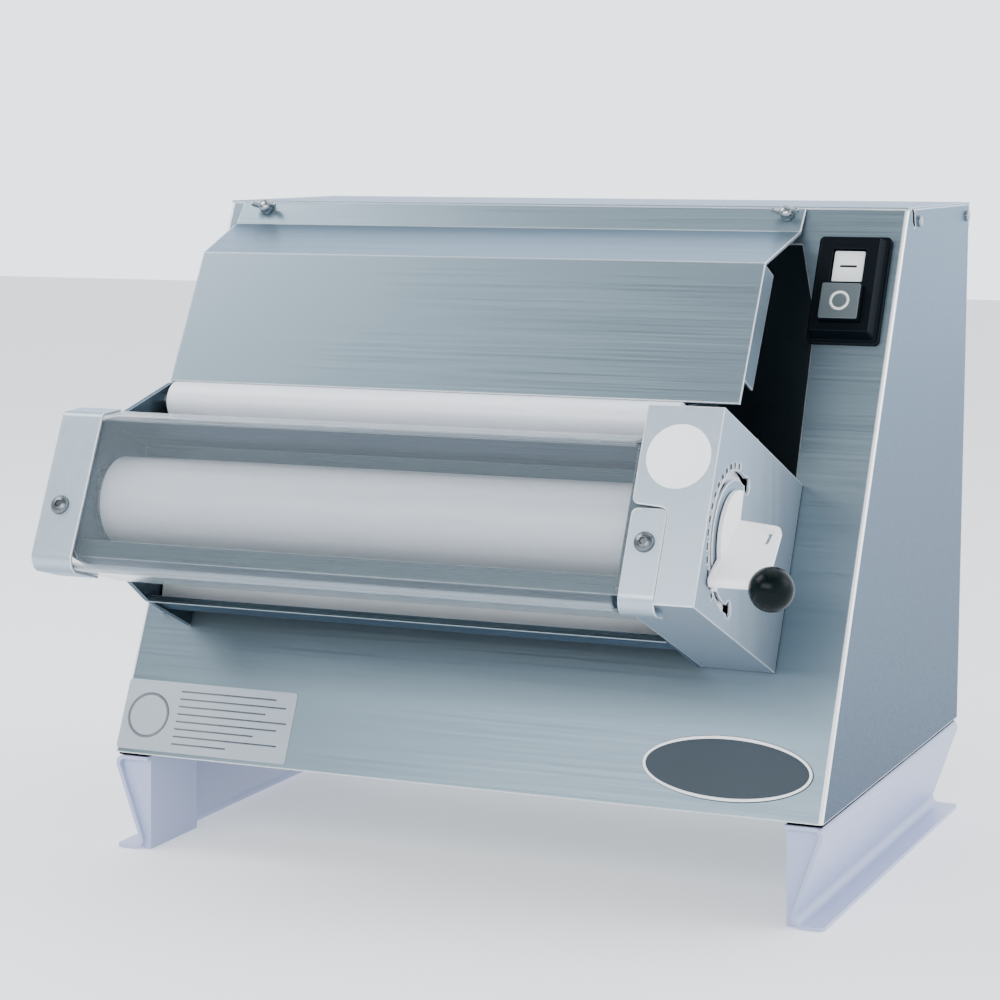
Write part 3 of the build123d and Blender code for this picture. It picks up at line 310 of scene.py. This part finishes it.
def powder_coat(name, colour, rough=0.42):
    """Powder coat with fine orange peel and a thin painted highlight on its edges."""
    material, tree, shader = new_material(name)
    peel = noise(tree, object_coords(tree), 700.0, 2.0, 0.5)
    slow = noise(tree, object_coords(tree), 9.0, 3.0, 0.5)
    tone = ramp(tree, slow, [(0.3, tuple(c * 0.94 for c in colour)), (0.7, colour)])
    mask, normal = edge_mask(tree, 0.0008)
    tone = mixed(tree, mask, tone, tuple(min(1.0, c * 1.12 + 0.03) for c in colour))
    link(tree, tone, shader.inputs["Base Color"])
    link(tree, spread(tree, peel, rough - 0.05, rough + 0.07), shader.inputs["Roughness"])
    link(tree, bump(tree, peel, 0.18, 0.00007, normal), shader.inputs["Normal"])
    set_inputs(shader, Coat_Weight=0.2, Coat_Roughness=0.3)
    return material


SHEET = (0.165, 0.222, 0.262)
materials = {
    "sheet_across": steel(
        "sheet_across", (0.195, 0.26, 0.305), "X", edge_highlight=(0.95, 0.97, 1.0), edge_radius=0.0016),
    # casing: painted shade low on its side walls and a painted highlight along its front bends
    "sheet_casing": steel(
        "sheet_casing", SHEET, "X", edge_highlight=(0.97, 0.98, 1.0), edge_radius=0.0012, side_shade=True, bend_highlights=True),
    "sheet_up": steel("sheet_up", SHEET, "Z"),
    "sheet_cover": steel("sheet_cover", (0.22, 0.275, 0.335), "X", metallic=0.78, rough=0.36),
    # gear cover, guard brackets and end cover: painted shade low on their side walls
    "sheet_unit": steel(
        "sheet_unit", (0.38, 0.46, 0.53), "Z", metallic=0.74, rough=0.36, edge_highlight=(0.95, 0.97, 1.0),
        edge_radius=0.0014, grain=0.4, side_shade=True, shade_tone=(0.17, 0.21, 0.235)),
    # painted shade: a very dark tone for the ramp, cheeks, lower beam and deflector inside the machine
    "sheet_inner_shaded": steel("sheet_inner_shaded", (0.060, 0.088, 0.104), "X", metallic=0.85, rough=0.3, grain=0.9,
                         edge_highlight=(0.50, 0.56, 0.60), edge_radius=0.0008),
    "sheet_strip": steel("sheet_strip", (0.85, 0.88, 0.92), "X", metallic=0.2, rough=0.5, edge_radius=0.0004),
    "ground_steel": machined("ground_steel", (0.60, 0.62, 0.64)),
    "screw_steel": machined("screw_steel", (0.32, 0.35, 0.37), rough=0.25),
    "black_oxide": machined("black_oxide", (0.008, 0.011, 0.013), rough=0.5, metallic=0.3),
    "screw_dark": machined("screw_dark", (0.15, 0.17, 0.185), rough=0.27),
    "cast_grey": machined("cast_grey", (0.42, 0.44, 0.46), rough=0.5, metallic=0.9),
    "chain_steel": machined("chain_steel", (0.20, 0.19, 0.18), rough=0.35),
    "bronze": machined("bronze", (0.55, 0.38, 0.18), rough=0.4),
    "foot_coat": powder_coat("foot_coat", (0.40, 0.45, 0.66)),
    "lever_coat": powder_coat("lever_coat", (0.95, 0.95, 0.965), rough=0.35),
    "roller_white": roller_white(),
    "clear_sheet": clear_sheet(),
    "knob_black": plastic("knob_black", (0.001, 0.004, 0.005), rough=0.24, grain=0.001, specular=0.09,
                          edge_highlight=(0.003, 0.008, 0.010)),
    "black_rubber": plastic("black_rubber", (0.003, 0.003, 0.004), rough=0.7, grain=0.3, specular=0.06),
    "switch_black": plastic("switch_black", (0.002, 0.004, 0.006), rough=0.45, grain=0.08, specular=0.05,
                            edge_highlight=(0.018, 0.028, 0.036)),
    "button_white": plastic(
        "button_white", (0.72, 0.76, 0.78), rough=0.35, grain=0.05, edge_highlight=(0.9, 0.92, 0.94)),
    "button_grey": plastic(
        "button_grey", (0.06, 0.08, 0.09), rough=0.38, grain=0.06, edge_highlight=(0.22, 0.26, 0.29)),
    "mark_white": plastic("mark_white", (0.88, 0.9, 0.92), rough=0.4, grain=0.02),
    "mark_black": plastic("mark_black", (0.01, 0.01, 0.012), rough=0.4, grain=0.02),
    "nylon": plastic("nylon", (0.72, 0.70, 0.62), rough=0.45, grain=0.1),
    "blade_white": plastic("blade_white", (0.70, 0.71, 0.70), rough=0.4, grain=0.1),
    "box_grey": plastic("box_grey", (0.16, 0.17, 0.19), rough=0.5, grain=0.2),
    "disc_white": plastic("disc_white", (0.90, 0.915, 0.95), rough=0.45, grain=0.05, variation=0.02),
    "label_silver": plastic("label_silver", (0.34, 0.39, 0.44), rough=0.4, grain=0.1, variation=0.04,
                            edge_highlight=(0.62, 0.66, 0.69)),
    "label_ink": plastic("label_ink", (0.15, 0.175, 0.20), rough=0.5, grain=0.05),
    "badge_slate": plastic("badge_slate", (0.020, 0.035, 0.050), rough=0.34, grain=0.04, specular=0.25),
}

NODE_MATERIALS = {
    "sheet_across": ["chute_plate", "base_plate"],
    "sheet_casing": ["casing_shell"],
    "sheet_cover": ["top_cover"],
    "sheet_up": ["rear_cover"],
    "sheet_unit": ["gear_cover", "left_guard_bracket", "right_guard_bracket", "left_end_cover"],
    "sheet_inner_shaded": ["hopper_ramp", "left_cheek", "right_cheek", "lower_beam", "exit_deflector"],
    "ground_steel": [
        "guide_roller_axle", "rear_roller_shaft", "front_roller_core", "sync_shaft", "left_carriage",
        "right_carriage", "right_cam", "left_cam", "output_shaft", "start_spring", "stop_spring",
        "motor_rotor"],
    "screw_steel": ["casing_screws", "foot_screws", "wing_screws", "cheek_bolts", "guard_screws"],
    "cast_grey": ["motor", "gearbox"],
    "chain_steel": ["drive_chain", "driven_sprocket", "drive_sprocket"],
    "bronze": ["rear_roller_bushes", "sync_shaft_bushes", "front_roller_bearings"],
    "foot_coat": ["left_foot", "right_foot"],
    "lever_coat": ["thickness_lever"],
    "roller_white": ["front_roller_sleeve", "rear_roller_sleeve", "guide_roller_sleeve"],
    "clear_sheet": ["guard_shield"],
    "knob_black": ["ball_knob"],
    "black_rubber": ["foot_pads"],
    "switch_black": ["switch_housing", "cable_gland"],
    "button_white": ["start_button"],
    "button_grey": ["stop_button"],
    "nylon": ["front_roller_gear", "rear_roller_gear"],
    "blade_white": ["front_scraper", "rear_scraper"],
    "box_grey": ["control_box"],
    "disc_white": ["blank_disc"],
    "label_silver": ["label_plate"],
    "badge_slate": ["badge"],
}
for material_name, members in NODE_MATERIALS.items():
    for member in members:
        mesh = nodes[member].data
        mesh.materials.clear()
        mesh.materials.append(materials[material_name])


# ================================================================ mesh helpers
def finish_piece(name, mesh, material, body, smooth=True, bevel=0.0, segments=3):
    """Links a mesh as a piece with its material, smooth shading, bevel and body."""
    piece = bpy.data.objects.new(name, mesh)
    bpy.context.scene.collection.objects.link(piece)
    mesh.materials.append(materials[material])
    for polygon in mesh.polygons:
        polygon.use_smooth = smooth
    if bevel:
        modifier = piece.modifiers.new("bevel", "BEVEL")
        modifier.width = bevel
        modifier.segments = segments
        modifier.limit_method = "ANGLE"
        modifier.angle_limit = radians(35)
        modifier.harden_normals = True
    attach(piece, body)
    return piece


def from_bmesh(name, builder, matrix):
    builder.transform(matrix)
    bmesh.ops.recalc_face_normals(builder, faces=builder.faces)
    mesh = bpy.data.meshes.new(name)
    builder.to_mesh(mesh)
    builder.free()
    return mesh


def bridge(builder, first, second):
    """Ring of quads between two closed loops with the same number of points."""
    for k in range(len(first)):
        following = (k + 1) % len(first)
        builder.faces.new((first[k], first[following], second[following], second[k]))


def prism(outline, low, high):
    """Closed prism over an outline of (x, y) points."""
    builder = bmesh.new()
    bottom = [builder.verts.new((x, y, low)) for x, y in outline]
    top = [builder.verts.new((x, y, high)) for x, y in outline]
    builder.faces.new(bottom[::-1])
    builder.faces.new(top)
    bridge(builder, bottom, top)
    return builder


def rounded_rectangle(width, height, radius, steps=6):
    points = []
    for corner in range(4):
        centre_x = (width / 2 - radius) * (1 if corner in (0, 3) else -1)
        centre_y = (height / 2 - radius) * (1 if corner in (0, 1) else -1)
        for k in range(steps + 1):
            angle = (corner + k / steps) * pi / 2
            points.append((centre_x + radius * cos(angle), centre_y + radius * sin(angle)))
    return points


def lathe(profile, steps=48):
    """Solid of revolution about local Z from (radius, height) points, ends on the axis."""
    builder = bmesh.new()
    rings = []
    for radius, height in profile:
        if radius < 1e-7:
            rings.append([builder.verts.new((0, 0, height))])
        else:
            turns = [2 * pi * k / steps for k in range(steps)]
            rings.append([builder.verts.new((radius * cos(a), radius * sin(a), height)) for a in turns])
    for lower, upper in zip(rings, rings[1:]):
        for k in range(steps):
            following = (k + 1) % steps
            if len(lower) == 1:
                builder.faces.new((lower[0], upper[k], upper[following]))
            elif len(upper) == 1:
                builder.faces.new((lower[k], upper[0], lower[following]))
            else:
                builder.faces.new((lower[k], lower[following], upper[following], upper[k]))
    return builder


def band(inner, outer, low, high, steps=48):
    """Flat ring between two ellipses given as (x radius, y radius)."""
    builder = bmesh.new()
    loops = []
    for (rx, ry), height in ((inner, low), (inner, high), (outer, high), (outer, low)):
        loops.append([
            builder.verts.new((rx * cos(2 * pi * k / steps), ry * sin(2 * pi * k / steps), height))
            for k in range(steps)])
    for first, second in zip(loops, loops[1:] + loops[:1]):
        for k in range(steps):
            following = (k + 1) % steps
            builder.faces.new((first[k], second[k], second[following], first[following]))
    return builder


def join_builders(name, parts):
    """One mesh from several (bmesh, matrix) pairs."""
    whole = bmesh.new()
    for builder, matrix in parts:
        builder.transform(matrix)
        scratch = bpy.data.meshes.new("scratch")
        builder.to_mesh(scratch)
        builder.free()
        whole.from_mesh(scratch)
        bpy.data.meshes.remove(scratch)
    return from_bmesh(name, whole, Matrix.Identity(4))


def tube(points, radius, sides=12):
    """Round bar along a list of points, closed at both ends."""
    builder = bmesh.new()
    loops = []
    count = len(points)
    up = None
    for k, point in enumerate(points):
        ahead = (points[min(k + 1, count - 1)] - points[max(k - 1, 0)]).normalized()
        if up is None:
            up = ahead.orthogonal().normalized()
        up = (up - ahead * up.dot(ahead)).normalized()
        side = ahead.cross(up)
        turns = [2 * pi * j / sides for j in range(sides)]
        loops.append([builder.verts.new(point + (up * cos(a) + side * sin(a)) * radius) for a in turns])
    for first, second in zip(loops, loops[1:]):
        bridge(builder, first, second)
    builder.faces.new(loops[0][::-1])
    builder.faces.new(loops[-1])
    return builder


def centre_of(node):
    low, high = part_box(node)
    return (Vector(low) + Vector(high)) / 2


def face_at(point):
    """Frame of the front face moved to a world point."""
    matrix = face_matrix(0, 0, 0)
    matrix.translation = point
    return matrix


def side_at(point):
    """Frame across the machine at a world point: X up the face, Y out of it, Z to the right."""
    matrix = Matrix((FACE_UP, FACE_OUT, RIGHT)).transposed().to_4x4()
    matrix.translation = point
    return matrix


MM = 0.001

# ================================================================ switch
START_SIZE = (20 * MM, 21 * MM, 13 * MM)
STOP_SIZE = (25 * MM, 23.6 * MM, 22 * MM)
CAP = 0.9 * MM


def button(node, size, cap_material):
    """A black plunger under a coloured cap, both riding with the button."""
    width, height, depth = size
    place = face_at(centre_of(node))
    outline = rounded_rectangle(width, height, 1.2 * MM)
    plunger = from_bmesh(f"{node}_plunger", prism(outline, -depth / 2, depth / 2 - CAP), place)
    plunger = finish_piece(f"{node}_plunger", plunger, "switch_black", node, bevel=0.25 * MM)
    outline = rounded_rectangle(width - 0.5 * MM, height - 0.5 * MM, 1.3 * MM)
    cap = from_bmesh(f"{node}_cap", prism(outline, depth / 2 - CAP, depth / 2 - 0.06 * MM), place)
    finish_piece(f"{node}_cap", cap, cap_material, node, bevel=0.35 * MM)
    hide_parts(node)
    return place, depth / 2 - 0.06 * MM


place, top = button("start_button", START_SIZE, "button_white")
bar = prism(rounded_rectangle(11 * MM, 1.5 * MM, 0.7 * MM), top - 0.05 * MM, top + 0.05 * MM)
finish_piece("start_mark", from_bmesh("start_mark", bar, place), "mark_black", "start_button")

place, top = button("stop_button", STOP_SIZE, "button_grey")
ring = band((4.6 * MM, 4.6 * MM), (6.4 * MM, 6.4 * MM), top - 0.05 * MM, top + 0.05 * MM)
finish_piece("stop_mark", from_bmesh("stop_mark", ring, place), "mark_white", "stop_button")


# ================================================================ screws
def hex_radius(angle, across_flats):
    return across_flats / 2 / cos((angle % (pi / 3)) - pi / 6)


def socket_screw(radius, height, shank, length, socket, depth, steps=48):
    """Domed head with a hexagon socket on a plain shank; local Z points out of the head."""
    builder = bmesh.new()
    angles = [2 * pi * k / steps for k in range(steps)]

    def loop(radius_of, z):
        return [builder.verts.new((radius_of(a) * cos(a), radius_of(a) * sin(a), z)) for a in angles]

    loops = [loop(lambda a: shank, -length), loop(lambda a: shank, 0), loop(lambda a: radius, 0)]
    rise = height * 0.25
    loops.append(loop(lambda a: radius, rise))
    for k in range(1, 8):
        turn = k / 8 * pi / 2 * 0.86
        ring_radius = radius * cos(turn)
        ring_height = rise + (height - rise) * sin(turn) / sin(pi / 2 * 0.86)
        loops.append(loop(lambda a, r=ring_radius: max(r, hex_radius(a, socket) * 1.12), ring_height))
    loops.append(loop(lambda a: hex_radius(a, socket), height * 0.97))
    loops.append(loop(lambda a: hex_radius(a, socket), height - depth))
    for first, second in zip(loops, loops[1:]):
        bridge(builder, first, second)
    builder.faces.new(loops[0][::-1])
    builder.faces.new(loops[-1])
    return builder


guard_low, guard_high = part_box("guard_screws")
GUARD_HEAD = 6 * MM
GUARD_HEAD_HEIGHT = 3.4 * MM
GUARD_SCREW_UP = 118.2 * MM
GUARD_SCREW_OUT = 161.5 * MM
guard_builders = [
    (socket_screw(GUARD_HEAD, GUARD_HEAD_HEIGHT, 3 * MM, 6.5 * MM, 4.2 * MM, 2.2 * MM),
     face_matrix(x, GUARD_SCREW_UP, GUARD_SCREW_OUT))
    for x in (guard_low[0] + GUARD_HEAD, guard_high[0] - GUARD_HEAD)]
guard_heads = finish_piece(
    "guard_screw_set", join_builders("guard_screw_set", guard_builders), "screw_dark", "body",
    bevel=0.2 * MM)
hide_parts("guard_screws")

wing_low, wing_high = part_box("wing_screws")
WING_UP = 385 * MM
WING_HUB = [
    (0, -9), (2.5, -9), (2.5, 4.2), (4.9, 4.2), (5.1, 5.0), (4.3, 8.6), (3.4, 9.6), (1.5, 10.2), (0, 10.3)]
WING_EAR = [
    (2.6, 5.0), (6.0, 5.4), (8.6, 7.4), (9.4, 10.2), (8.6, 12.2), (6.8, 12.4), (5.0, 10.6), (3.2, 9.2)]


def wing(direction):
    """One ear of a wing screw, standing out to one side of the hub."""
    builder = prism([(direction * x * MM, y * MM) for x, y in WING_EAR], -1.1 * MM, 1.1 * MM)
    builder.transform(Matrix.Rotation(radians(90), 4, "X"))
    return builder


wing_builders = []
for x in (wing_low[0] + 7.5 * MM, wing_high[0] - 7.5 * MM):
    place = face_matrix(x, WING_UP, 0)
    wing_builders.append((lathe([(r * MM, z * MM) for r, z in WING_HUB]), place))
    wing_builders += [(wing(direction), place) for direction in (-1, 1)]
wing_set = finish_piece(
    "wing_screw_set", join_builders("wing_screw_set", wing_builders), "screw_steel", "body",
    bevel=0.5 * MM)
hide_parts("wing_screws")


# ================================================================ lever knob and arc slot
KNOB_RADIUS = 12.75 * MM
knob_profile = [(0, -KNOB_RADIUS * 0.92), (5.2 * MM, -KNOB_RADIUS * 0.915)]
knob_profile += [(KNOB_RADIUS * cos(radians(a)), KNOB_RADIUS * sin(radians(a))) for a in range(-66, 90, 6)]
knob_profile.append((0, KNOB_RADIUS))
knob = from_bmesh("knob_ball", lathe(knob_profile, 64), side_at(centre_of("ball_knob")))
knob = finish_piece("knob_ball", knob, "knob_black", "thickness_control")
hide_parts("ball_knob")

PIVOT_UP = 135 * MM
PIVOT_OUT = 114 * MM
SLOT_MIDDLE = 38 * MM
SLOT_HALF = 2.4 * MM
SLOT_REACH = radians(104)
EYE_RADIUS = 5 * MM
LIP = 0.45 * MM
LIP_GAP = 0.4 * MM
wall_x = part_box("gear_cover")[1][0]


def slot_point(radius, angle, turn=0.0, turn_radius=0.0, inward=0.0):
    """Point beside the arc slot; angle from straight out towards up, turn goes round an eye."""
    up = PIVOT_UP + radius * sin(angle) + turn_radius * sin(angle + turn)
    out = PIVOT_OUT + radius * cos(angle) + turn_radius * cos(angle + turn)
    return face_point(wall_x - inward, up, out)


# rolled lip round both eyes and along the outer edge of the slot
eye_lip = EYE_RADIUS + LIP_GAP
mouth = asin(SLOT_HALF / EYE_RADIUS)
eye_start = mouth - pi / 2
eye_turn = 2 * pi - 2 * mouth
edge_reach = SLOT_REACH - EYE_RADIUS * cos(mouth) / SLOT_MIDDLE
lip_path = [slot_point(SLOT_MIDDLE, -SLOT_REACH, -eye_start - eye_turn + eye_turn * k / 24, eye_lip)
            for k in range(25)]
lip_path += [slot_point(SLOT_MIDDLE + SLOT_HALF + LIP_GAP, edge_reach * (k / 30 - 1)) for k in range(61)]
lip_path += [slot_point(SLOT_MIDDLE, SLOT_REACH, eye_start + eye_turn * k / 24, eye_lip) for k in range(25)]
finish_piece("arc_slot_lip", from_bmesh("arc_slot_lip", tube(lip_path, LIP), Matrix.Identity(4)),
             "sheet_unit", "body")

# guide strip behind the slot, clear of the lever's tongue and of the cam
STRIP_FACE = 4.3 * MM
STRIP_BACK = 5.1 * MM
STRIP_INNER = 33.6 * MM
STRIP_OUTER = 41.4 * MM
STRIP_SECTION = (
    (STRIP_INNER, STRIP_FACE), (STRIP_OUTER, STRIP_FACE),
    (STRIP_OUTER, STRIP_BACK), (STRIP_INNER, STRIP_BACK))
strip_builder = bmesh.new()
strip_loops = []
for k in range(61):
    angle = SLOT_REACH * 1.06 * (k / 30 - 1)
    strip_loops.append([
        strip_builder.verts.new(slot_point(radius, angle, inward=depth)) for radius, depth in STRIP_SECTION])
for first, second in zip(strip_loops, strip_loops[1:]):
    bridge(strip_builder, first, second)
strip_builder.faces.new(strip_loops[0][::-1])
strip_builder.faces.new(strip_loops[-1])
finish_piece("slot_backing", from_bmesh("slot_backing", strip_builder, Matrix.Identity(4)), "sheet_strip",
             "body", smooth=False, bevel=0.15 * MM)

# dark teeth of the index plate, standing in the windows beside the slot
INDEX_RADIUS = 43.6 * MM
INDEX_PITCH = radians(10)
INDEX_FIRST = radians(-80)
INDEX_COUNT = 15
TOOTH_HALF_DEPTH = 1.6 * MM
TOOTH_HALF_WIDTH = 2.1 * MM
TOOTH_ROOT = 1.45 * MM
TOOTH_TIP = 0.08 * MM
teeth = []
for k in range(INDEX_COUNT):
    angle = INDEX_FIRST + INDEX_PITCH * k
    tooth = bmesh.new()
    root, tip = [[
        tooth.verts.new(slot_point(
            INDEX_RADIUS + out * TOOTH_HALF_DEPTH, angle, pi / 2, along * TOOTH_HALF_WIDTH, inward))
        for out, along in ((-1, -1), (1, -1), (1, 1), (-1, 1))] for inward in (TOOTH_ROOT, TOOTH_TIP)]
    bridge(tooth, root, tip)
    tooth.faces.new(root[::-1])
    tooth.faces.new(tip)
    teeth.append((tooth, Matrix.Identity(4)))
finish_piece("index_teeth", join_builders("index_teeth", teeth), "black_oxide", "body",
             smooth=False, bevel=0.2 * MM)

# dark pads in the relief slots at the front ends of the top cover, painted shade filling the gaps, in the
# black rubber material
shell_low, shell_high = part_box("casing_shell")
SLOPE_LENGTH = 392 * MM
COVER_CORNER = face_point(0, SLOPE_LENGTH, 0)
RELIEF = [
    (3.5, -1.7), (9.7, -1.7), (13.1, -3.7), (13.7, -8.4),
    (15.6, -11.8), (13.3, -13.1), (8.3, -9.3), (7.5, -3.9)]
shadow_pads = []
for wall, way in ((shell_low[0], 1), (shell_high[0], -1)):
    shadow_pad = prism([(y * MM, z * MM) for y, z in RELIEF], 0.12 * MM, 1.4 * MM)
    place = Matrix(((0, 0, way, wall), (1, 0, 0, COVER_CORNER.y), (0, 1, 0, COVER_CORNER.z), (0, 0, 0, 1)))
    shadow_pads.append((shadow_pad, place))
finish_piece("relief_shadow_pads", join_builders("relief_shadow_pads", shadow_pads), "black_rubber", "body",
             smooth=False, bevel=0.15 * MM)

# ================================================================ blank plates
label_place = face_at(centre_of("label_plate"))
LABEL_TOP = 0.25 * MM
RING_INNER = 13.4 * MM
RING_OUTER = 15.2 * MM
LINE_HEIGHT = 1.1 * MM
ring = band((RING_INNER, RING_INNER), (RING_OUTER, RING_OUTER), LABEL_TOP - 0.02 * MM, LABEL_TOP + 0.06 * MM)
label_parts = [(ring, label_place @ Matrix.Translation((-43 * MM, 0, 0)))]
LINE_LENGTHS = (70, 78, 64, 80, 74, 58, 76, 40)
for row, length in enumerate(LINE_LENGTHS):
    outline = rounded_rectangle(length * MM, LINE_HEIGHT, 0.5 * MM)
    stroke = prism(outline, LABEL_TOP - 0.02 * MM, LABEL_TOP + 0.05 * MM)
    offset = Matrix.Translation(((-22 + length / 2) * MM, (17.5 - 5 * row) * MM, 0))
    label_parts.append((stroke, label_place @ offset))
finish_piece("label_marks", join_builders("label_marks", label_parts), "label_ink", "body")

badge_place = face_at(centre_of("badge"))
BADGE_HALF = (53.5 * MM, 20 * MM)
rim_inner, rim_outer = [[half - inset for half in BADGE_HALF] for inset in (2.2 * MM, 0.4 * MM)]
rim = band(rim_inner, rim_outer, 0.4 * MM, 0.95 * MM, steps=96)
finish_piece("badge_rim", from_bmesh("badge_rim", rim, badge_place), "mark_white", "body",
             bevel=0.15 * MM)

# ================================================================ camera, light and floor
CAMERA_PLACE = (0.6736, -1.5831, 0.463)
CAMERA_YAW = 23.48
CAMERA_PITCH = -7.73
CAMERA_LENS = 96.4
camera_data = bpy.data.cameras.new("camera")
camera_data.lens = CAMERA_LENS
camera_data.sensor_width = 36.0
camera = bpy.data.objects.new("camera", camera_data)
bpy.context.scene.collection.objects.link(camera)
camera.location = CAMERA_PLACE
camera.rotation_euler = (radians(90 + CAMERA_PITCH), 0, radians(CAMERA_YAW))
bpy.context.scene.camera = camera

# a bright studio with a darker front, which the leaning sheet metal reflects
DARK_FRONT = (-0.30, -0.52, 0.80)
world = bpy.data.worlds.new("studio")
world.use_nodes = True
bpy.context.scene.world = world
sky = world.node_tree
sky_way = add_node(sky, "ShaderNodeTexCoord")
sky_dot = add_node(sky, "ShaderNodeVectorMath", operation="DOT_PRODUCT")
link(sky, sky_way.outputs["Generated"], sky_dot.inputs[0])
sky_dot.inputs[1].default_value = DARK_FRONT
sky.nodes["Background"].inputs["Color"].default_value = (0.89, 0.945, 1.0, 1)
SKY_BRIGHT = 2.8
SKY_DARK = 0.34
sky_strength = spread(sky, sky_dot.outputs["Value"], SKY_BRIGHT, SKY_DARK, 0.0, 0.85)
link(sky, sky_strength, sky.nodes["Background"].inputs["Strength"])


def area_light(name, place, aim, size, power, colour=(1, 1, 1)):
    data = bpy.data.lights.new(name, "AREA")
    data.shape = "RECTANGLE"
    data.size, data.size_y = size
    data.energy = power
    data.color = colour
    light = bpy.data.objects.new(name, data)
    bpy.context.scene.collection.objects.link(light)
    light.location = place
    light.rotation_euler = (Vector(aim) - Vector(place)).to_track_quat("-Z", "Y").to_euler()
    return light


area_light("key", (-1.3, -0.5, 1.7), (0, 0, 0.25), (1.0, 1.0), 24)
area_light("right_fill", (2.0, 0.4, 1.3), (0.1, 0, 0.3), (1.2, 1.2), 14, (0.90, 0.93, 1.0))
area_light("top", (0.1, 0.1, 1.9), (0, 0, 0.2), (1.6, 1.2), 9)
area_light("front_soft", (-0.2, -2.3, 1.25), (0, 0, 0.2), (2.2, 0.8), 46)

floor_builder = bmesh.new()
bmesh.ops.create_grid(floor_builder, x_segments=2, y_segments=2, size=6)
floor = bpy.data.objects.new("floor", from_bmesh("floor", floor_builder, Matrix.Identity(4)))
bpy.context.scene.collection.objects.link(floor)
floor_material, floor_tree, floor_shader = new_material("floor_white")
floor_tone = ramp(floor_tree, noise(floor_tree, object_coords(floor_tree), 3.0),
                  [(0.3, (0.90, 0.90, 0.905)), (0.7, (0.92, 0.92, 0.925))])
link(floor_tree, floor_tone, floor_shader.inputs["Base Color"])
set_inputs(floor_shader, Roughness=0.8, Emission_Color=(0.95, 0.97, 1.0, 1), Emission_Strength=0.5)
floor.data.materials.append(floor_material)
